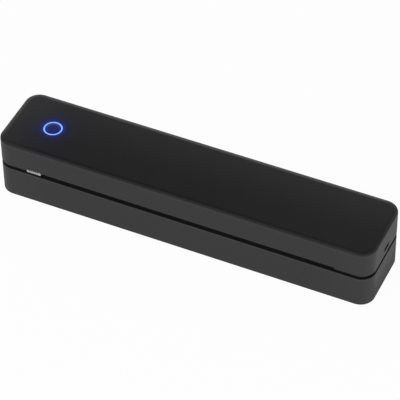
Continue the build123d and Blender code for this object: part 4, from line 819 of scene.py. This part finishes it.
def build_base():
    """Lower tub less the paper inlet and the screw wells, with its knuckles, pillars and catches."""
    rear_cut = block((-160.0, 160.0), (HINGE[0] - GAP, 33.0), (REAR_RIM, 29.0))
    well, top = 2.4, 12.0
    wells = [turned([(well, -1.0), (well, SCREW_SEAT)], (x, y, 0), steps=32) for x, y in PILLARS]
    shell = cut(mesh_of("base_shell", [base_shell()]), rear_cut, *wells)
    piece("base_shell", shell, "base", case_black, ["lower_casing"])
    inner = [knuckle(span, REAR_RIM - 5.0, HINGE[1]) for span in hinge_spans(outer=True)]
    rows = [(well, BASE_FLOOR - 0.5), (3.4, BASE_FLOOR - 0.5), (3.4, top - 0.2), (3.2, top), (1.15, top),
            (1.15, SCREW_SEAT), (well, SCREW_SEAT)]
    inner += [turned(rows, (x, y, 0), steps=32, closed=True) for x, y in PILLARS]
    inner += [brick((x, -29.5, BASE_RIM - 3.2), (x + 4.0, -25.5, BASE_RIM - 1.8), 0.2) for x in CATCHES]
    piece("base_inside", inner, "base", inner_black, ())


# ------------------------------------------------------------------ button, ring and slider
def build_button():
    """Button cap, hollow under its top, with its flange and stem; and the light guide round it."""
    foot, flange = button_low.z, CAP_FLANGE
    bore = CAP - 1.4
    cap = [(bore, foot), (flange - 0.15, foot), (flange, foot + 0.15), (flange, foot + 0.85),
           (flange - 0.15, foot + 1.0), (CAP, foot + 1.0), (CAP, TOP - 0.28), (CAP - 0.08, TOP - 0.08),
           (CAP - 0.28, TOP), (3.0, TOP), (0.01, TOP), (0.01, TOP - 1.4), (bore - 0.2, TOP - 1.4),
           (bore, TOP - 1.6)]
    hollow = turned(cap, (*BUTTON, 0), steps=72, closed=True)
    stem = turned([(1.45, foot), (1.6, foot + 0.15), (1.6, TOP - 0.7)], (*BUTTON, 0), steps=32)
    piece("button_cap", [hollow, stem], "button", button_black, ["power_button"])
    low, high = ring_low.z, ring_high.z
    inner, outer = RING
    edge = 0.12
    ring = [(inner, low), (RING_FLANGE, low), (RING_FLANGE, ROOF), (outer, ROOF), (outer, high - edge),
            (outer - edge, high), (inner + edge, high), (inner, high - edge)]
    piece("ring_guide", [turned(ring, (*BUTTON, 0), steps=96, closed=True)], "cover", ring_blue,
          ["ring_light"])


def slider_bar(low, high, pitch=1.75, groove=0.34):
    """Finger bar along x: a rounded section whose front dips in slanting ribs between smooth ends.

    The ribs dip by g cos(2 pi (x + k z) / p), clipped to 0 and 1 times g. The section is a rounded
    rectangle, drawn in to a half circle at each end, with a thumb notch d exp(-((x - c) / w)^2)
    pressed into its upper side beside the left end.
    """
    length, depth, height = high - low
    x = np.linspace(low[0], high[0], 260)[:, None]
    section_y, section_z = rounded_section(depth / 2, height / 2, 0.45, 6)
    near = np.minimum(x - low[0], high[0] - x)
    shrink = np.sqrt(np.clip(1 - (1 - np.clip(near / 0.9, 0, 1)) ** 2, 0.02, 1))
    ribbed = np.clip((near - 2.2) / 0.25, 0, 1)
    wave = np.cos(2 * math.pi * (x - low[0] - length / 2 + 0.45 * section_z) / pitch)
    face = np.clip(-section_y / (depth / 2) * 3 - 2, 0, 1)
    dip = groove * ribbed * face * np.clip(1.8 * wave - 0.5, 0, 1)
    notch = 0.75 * np.exp(-((x - low[0] - 2.35) / 0.38) ** 2) * np.clip(section_z / (height / 2), 0, 1)
    y = low[1] + depth / 2 + section_y * (0.55 + 0.45 * shrink) + dip
    z = low[2] + height / 2 + section_z * shrink - notch
    points = np.dstack((np.broadcast_to(x, y.shape), y, z))
    return skin(points, first=True, last=True)


def rounded_section(half_y, half_z, radius, arc):
    """(y, z) of a rounded rectangle with extra stops on its front side, counter-clockwise seen from +x."""
    stops = np.linspace(-half_z + radius, half_z - radius, 7)[1:-1]
    core, normal = rounded_plan(half_y, half_z, radius, arc, left=stops)
    flat = core + normal * radius
    return flat[:, 0], flat[:, 1]


def build_slider():
    """Finger bar in the outlet, and the stem behind it that joins the lock's bar."""
    low = np.array(slider_low)
    high = np.array((slider_high.x, slider_low.y + 2.6, slider_low.z + 2.5))
    middle = (low[0] + high[0]) / 2
    stem = brick((middle - 3, high[1] - 0.3, low[2]), (middle + 3, slider_high.y, slider_high.z), 0.2)
    piece("slider", [slider_bar(low, high), stem], "lock", silver, ["lock_slider"], sharp=50)


# ------------------------------------------------------------------ feet, socket and screws
def build_feet():
    """Four oblong pads with a rounded lower edge."""
    half_length, radius = 7.0, 3.0
    plan = rounded_plan(half_length, radius, radius, 12)
    rows = [(0.45, 0.0), (0.13, 0.1), (0.0, 0.4), (0.0, 1.5)]
    pads = [skin(rings(plan, radius, rows, centre=(x, y)), first=True, last=True)
            for x in (-126.0, 126.0) for y in (-23.25, 23.25)]
    piece("feet", pads, "base", feet_rubber, ["rubber_feet"])


def build_socket():
    """Drawn metal shell of the charging socket, its tongue, and the two rows of contacts on it."""
    y, z = SOCKET
    back, mouth = socket_low.x, socket_high.x
    rows = [(back, 9.0, 3.2), (mouth - 0.12, 9.0, 3.2), (mouth, 8.85, 3.05), (mouth, 8.45, 2.65),
            (mouth - 0.12, 8.3, 2.5), (back + 1.0, 8.3, 2.5)]
    shell = along_x([(x, oblong(length, height) + SOCKET) for x, length, height in rows])
    tongue = brick((back + 0.5, y - 3.3, z - 0.35), (mouth - 1.0, y + 3.3, z + 0.35), 0.1)
    piece("socket_shell", [shell], "cover", socket_metal, ["usb_socket"])
    piece("socket_tongue", [tongue], "cover", chip_black, ())
    strips = [brick((mouth - 5.0, at - 0.13, level - 0.03), (mouth - 1.5, at + 0.13, level + 0.03), 0.01)
              for level in (z - 0.36, z + 0.36) for at in y + np.linspace(-2.75, 2.75, 12)]
    piece("socket_contacts", strips, "cover", contact_gold, ())


def screw(x, y, seat, head, radius, shank, reach, up):
    """Pan head with a cross recess, and its shank: upright, or head down where up is -1.

    Seen from above, a point at (r, a) stands at h (1 - 0.30 (r / R)^4), less the recess where it lies
    within the cross: min(|x|, |y|) < w and r < c.
    """
    rows = np.concatenate((np.linspace(0.04, 0.66, 9), (0.8, 0.93, 1.0)))
    steps = 40
    angles = np.linspace(0, 2 * math.pi, steps, endpoint=False)
    r, a = np.meshgrid(rows[::-1], angles, indexing="ij")
    px, py = r * np.cos(a), r * np.sin(a)
    narrow = np.minimum(abs(px), abs(py))
    recess = np.clip((0.17 - narrow) / 0.05, 0, 1) * np.clip((0.62 - r) / 0.08, 0, 1)
    height = head * (1 - 0.30 * r ** 4 - 0.62 * recess)
    top = np.dstack((radius * px, radius * py, height))
    under = np.stack([np.column_stack((wide * np.cos(angles), wide * np.sin(angles), np.full(steps, level)))
                      for wide, level in ((shank, -reach), (shank, 0.0), (radius, 0.0))])
    points = np.concatenate((under, top))
    points[..., 2] *= up
    if up < 0:
        points = points[:, ::-1]
    return skin(points + np.array((x, y, seat)), first=True, last=True)


def build_screws():
    """Casing screws in their wells, the liner's screws, and the four that hold the chassis."""
    casing = [screw(x, y, SCREW_SEAT, *PAN_SCREW, up=-1) for x, y in PILLARS]
    piece("casing_screws", casing, "base", screw_dark, ["base_screws"])
    liner = [screw(x, y, LINER_TOP, *PAN_SCREW, up=-1) for x, y in LINER_SCREWS]
    piece("liner_screws", liner, "cover", screw_dark, ["cover_screws"])
    low, high = corners("chassis_screws")
    head, radius = 1.0, 1.7
    chassis = [screw(x, y, high.z - head, head, radius, 0.9, 2.4, up=1)
               for x in (low.x + radius, high.x - radius) for y in (low.y + radius, high.y - radius)]
    piece("chassis_fixings", chassis, "base", screw_zinc, ["chassis_screws"])


# ------------------------------------------------------------------ roller, springs and cells
def build_roller():
    """Rubber sleeve with its edges ground round."""
    ground = [(CORE_RADIUS, 0.0), (ROLLER_RADIUS - 0.3, 0.0), (ROLLER_RADIUS - 0.08, 0.1),
              (ROLLER_RADIUS, 0.35)]
    rows = [(radius, roller_low.x + step) for radius, step in ground]
    rows += [(radius, roller_high.x - step) for radius, step in reversed(ground)]
    piece("roller_sleeve", [turned(rows, (0, *ROLLER), "x", 96, closed=True)],
          "platen", roller_rubber, ["platen_roller"])


def build_springs():
    """Coil springs: helix (R cos t, R sin t, h) whose end turns close up, as h = H (s - k sin(2 pi s)).

    The head's lift at their far side is worked out, but nothing shortens them with it.
    """
    low, high = corners("head_springs")
    wire, radius, turns = 0.4, 2.6, 6.5
    length = high.z - low.z - 2 * wire
    share = np.linspace(0, 1, 260)
    turn = 2 * math.pi * turns * share
    height = low.z + wire + length * (share - 0.10 * np.sin(2 * math.pi * share))
    across = (low.y + high.y) / 2 + radius * np.sin(turn)
    coils = [tube(np.stack((x + radius * np.cos(turn), across, height), 1), wire)
             for x in (low.x + radius + wire, high.x - radius - wire)]
    springs = piece("springs", coils, "cover", spring_steel, ["head_springs"])
    rock = next(joint for joint in frame["record"]["behaviour"]["joints"] if joint["name"] == "head_rock")
    lift = math.radians(rock["range_deg"][1]) * (rock["pos_m"][1] / MM - low.y)
    1.0 - lift / length
    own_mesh(springs)


def build_cells():
    """Two cells in line: a rolled sleeve edge at each end, the crimp's groove, and the raised pole."""
    low, high = corners("battery_cells")
    radius = (high.z - low.z) / 2
    centre = ((low.y + high.y) / 2, (low.z + high.z) / 2)
    finish = sleeve("cell_sleeve", centre)
    cells = []
    for start in (low.x, high.x - CELL_LENGTH):
        end = start + CELL_LENGTH
        rows = [(7.6, start), (8.3, start), (radius - 0.35, start + 0.05), (radius, start + 0.45),
                (radius, end - 3.2), (radius - 0.28, end - 2.7), (radius, end - 2.2), (radius, end - 1.2),
                (radius - 0.35, end - 0.85), (7.6, end - 0.8), (5.0, end - 0.8), (4.8, end)]
        cells.append(turned(rows, (0, *centre), "x", 64))
    piece("cells", cells, "base", finish, ["battery_cells"])


build_camera()
build_cover()
build_base()
build_button()
build_slider()
build_feet()
build_socket()
build_screws()
build_roller()
build_springs()
build_cells()

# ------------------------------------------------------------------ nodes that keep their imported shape
KEPT = {
    inner_black: ["paper_deck", "cover_liner", "battery_straps"],
    sheet_steel: ["roller_chassis", "head_bracket", "lock_bar"],
    bush_white: ["roller_bushes"],
    ground_steel: ["idler_post", "hinge_pins", "platen_shaft", "motor_shaft", "head_pivot", "pivot_clips",
                   "platen_clip"],
    motor_plate: ["stepper_motor"],
    screw_zinc: ["motor_screws", "bracket_screws", "board_screws"],
    board_green: ["battery_board", "button_board", "main_board", "usb_board"],
    sensor_black: ["paper_sensor"],
    gear_white: ["platen_gear", "idler_gear"],
    brass: ["motor_pinion"],
    chip_black: ["button_switch", "board_chips"],
    sink_metal: ["heat_sink"],
    ceramic: ["print_head"],
    driver_black: ["driver_cover"],
}
for finish, nodes in KEPT.items():
    for node in nodes:
        for place in frame["nodes"][node].material_slots:
            place.material = finish


# ------------------------------------------------------------------ floor, lamps and world
def build_floor():
    """Pale floor that keeps the object's shadow; seen directly or in a gloss it is nearly its own white."""
    mesh = bpy.data.meshes.new("floor")
    far = 6.0
    mesh.from_pydata([(-far, -far, 0), (far, -far, 0), (far, far, 0), (-far, far, 0)], [], [(0, 1, 2, 3)])
    floor = bpy.data.objects.new("floor", mesh)
    bpy.context.scene.collection.objects.link(floor)
    f = Finish("floor_white")
    camera, glossy, through = (f.node("ShaderNodeLightPath", output=f"Is {kind} Ray")
                               for kind in ("Camera", "Glossy", "Transmission"))
    rays = camera.most(glossy).most(through)
    paper = f.node("ShaderNodeBsdfDiffuse", {"Color": (0.86, 0.86, 0.86, 1.0)})
    lit = f.node("ShaderNodeEmission", {"Color": (1, 1, 1, 1), "Strength": 1.0})
    open_below = f.node("ShaderNodeBsdfTransparent")
    shade = f.node("ShaderNodeMixShader", {0: rays * 0.97, 1: paper, 2: lit})
    under = f.node("ShaderNodeNewGeometry", output="Backfacing")
    f.close(f.node("ShaderNodeMixShader", {0: under, 1: shade, 2: open_below}))
    mesh.materials.append(f.material)


def lamp(name, place, aim, size, power):
    """Soft square lamp that faces its aim."""
    data = bpy.data.lights.new(name, "AREA")
    data.shape, data.size, data.energy = "SQUARE", size, power
    made = bpy.data.objects.new(name, data)
    made.location = place
    made.rotation_mode = "QUATERNION"
    made.rotation_quaternion = (Vector(aim) - Vector(place)).to_track_quat("-Z", "Y")
    bpy.context.scene.collection.objects.link(made)


def build_world():
    """Studio: bright towards the horizon, dim overhead, the same all round."""
    world = bpy.data.worlds.new("studio")
    world.use_nodes = True
    bpy.context.scene.world = world
    f = Finish("studio", world.node_tree)
    up = f.node("ShaderNodeSeparateXYZ", {0: f.node("ShaderNodeTexCoord", output="Generated")}, output="Z")
    strength = 0.95 - 0.80 * f.step(abs(up), 0.18, 0.62)
    light = f.node("ShaderNodeBackground", {"Color": (1, 1, 1, 1), "Strength": strength})
    f.close(light, "ShaderNodeOutputWorld")


build_floor()
build_world()
lamp("key", (-0.45, -0.95, 0.95), (0, 0, 0.03), 0.7, 6.0)
lamp("end", (1.25, -0.25, 0.42), (0.1, 0, 0.03), 0.6, 4.8)
lamp("rear_edge", (-0.36, 1.10, 0.43), (0, 0, 0.04), 0.5, 0.66)
lamp("left_edge", (-0.85, 0.77, 0.60), (-0.15, 0, 0.05), 0.25, 0.3)
bpy.context.scene.view_settings.view_transform = "Standard"
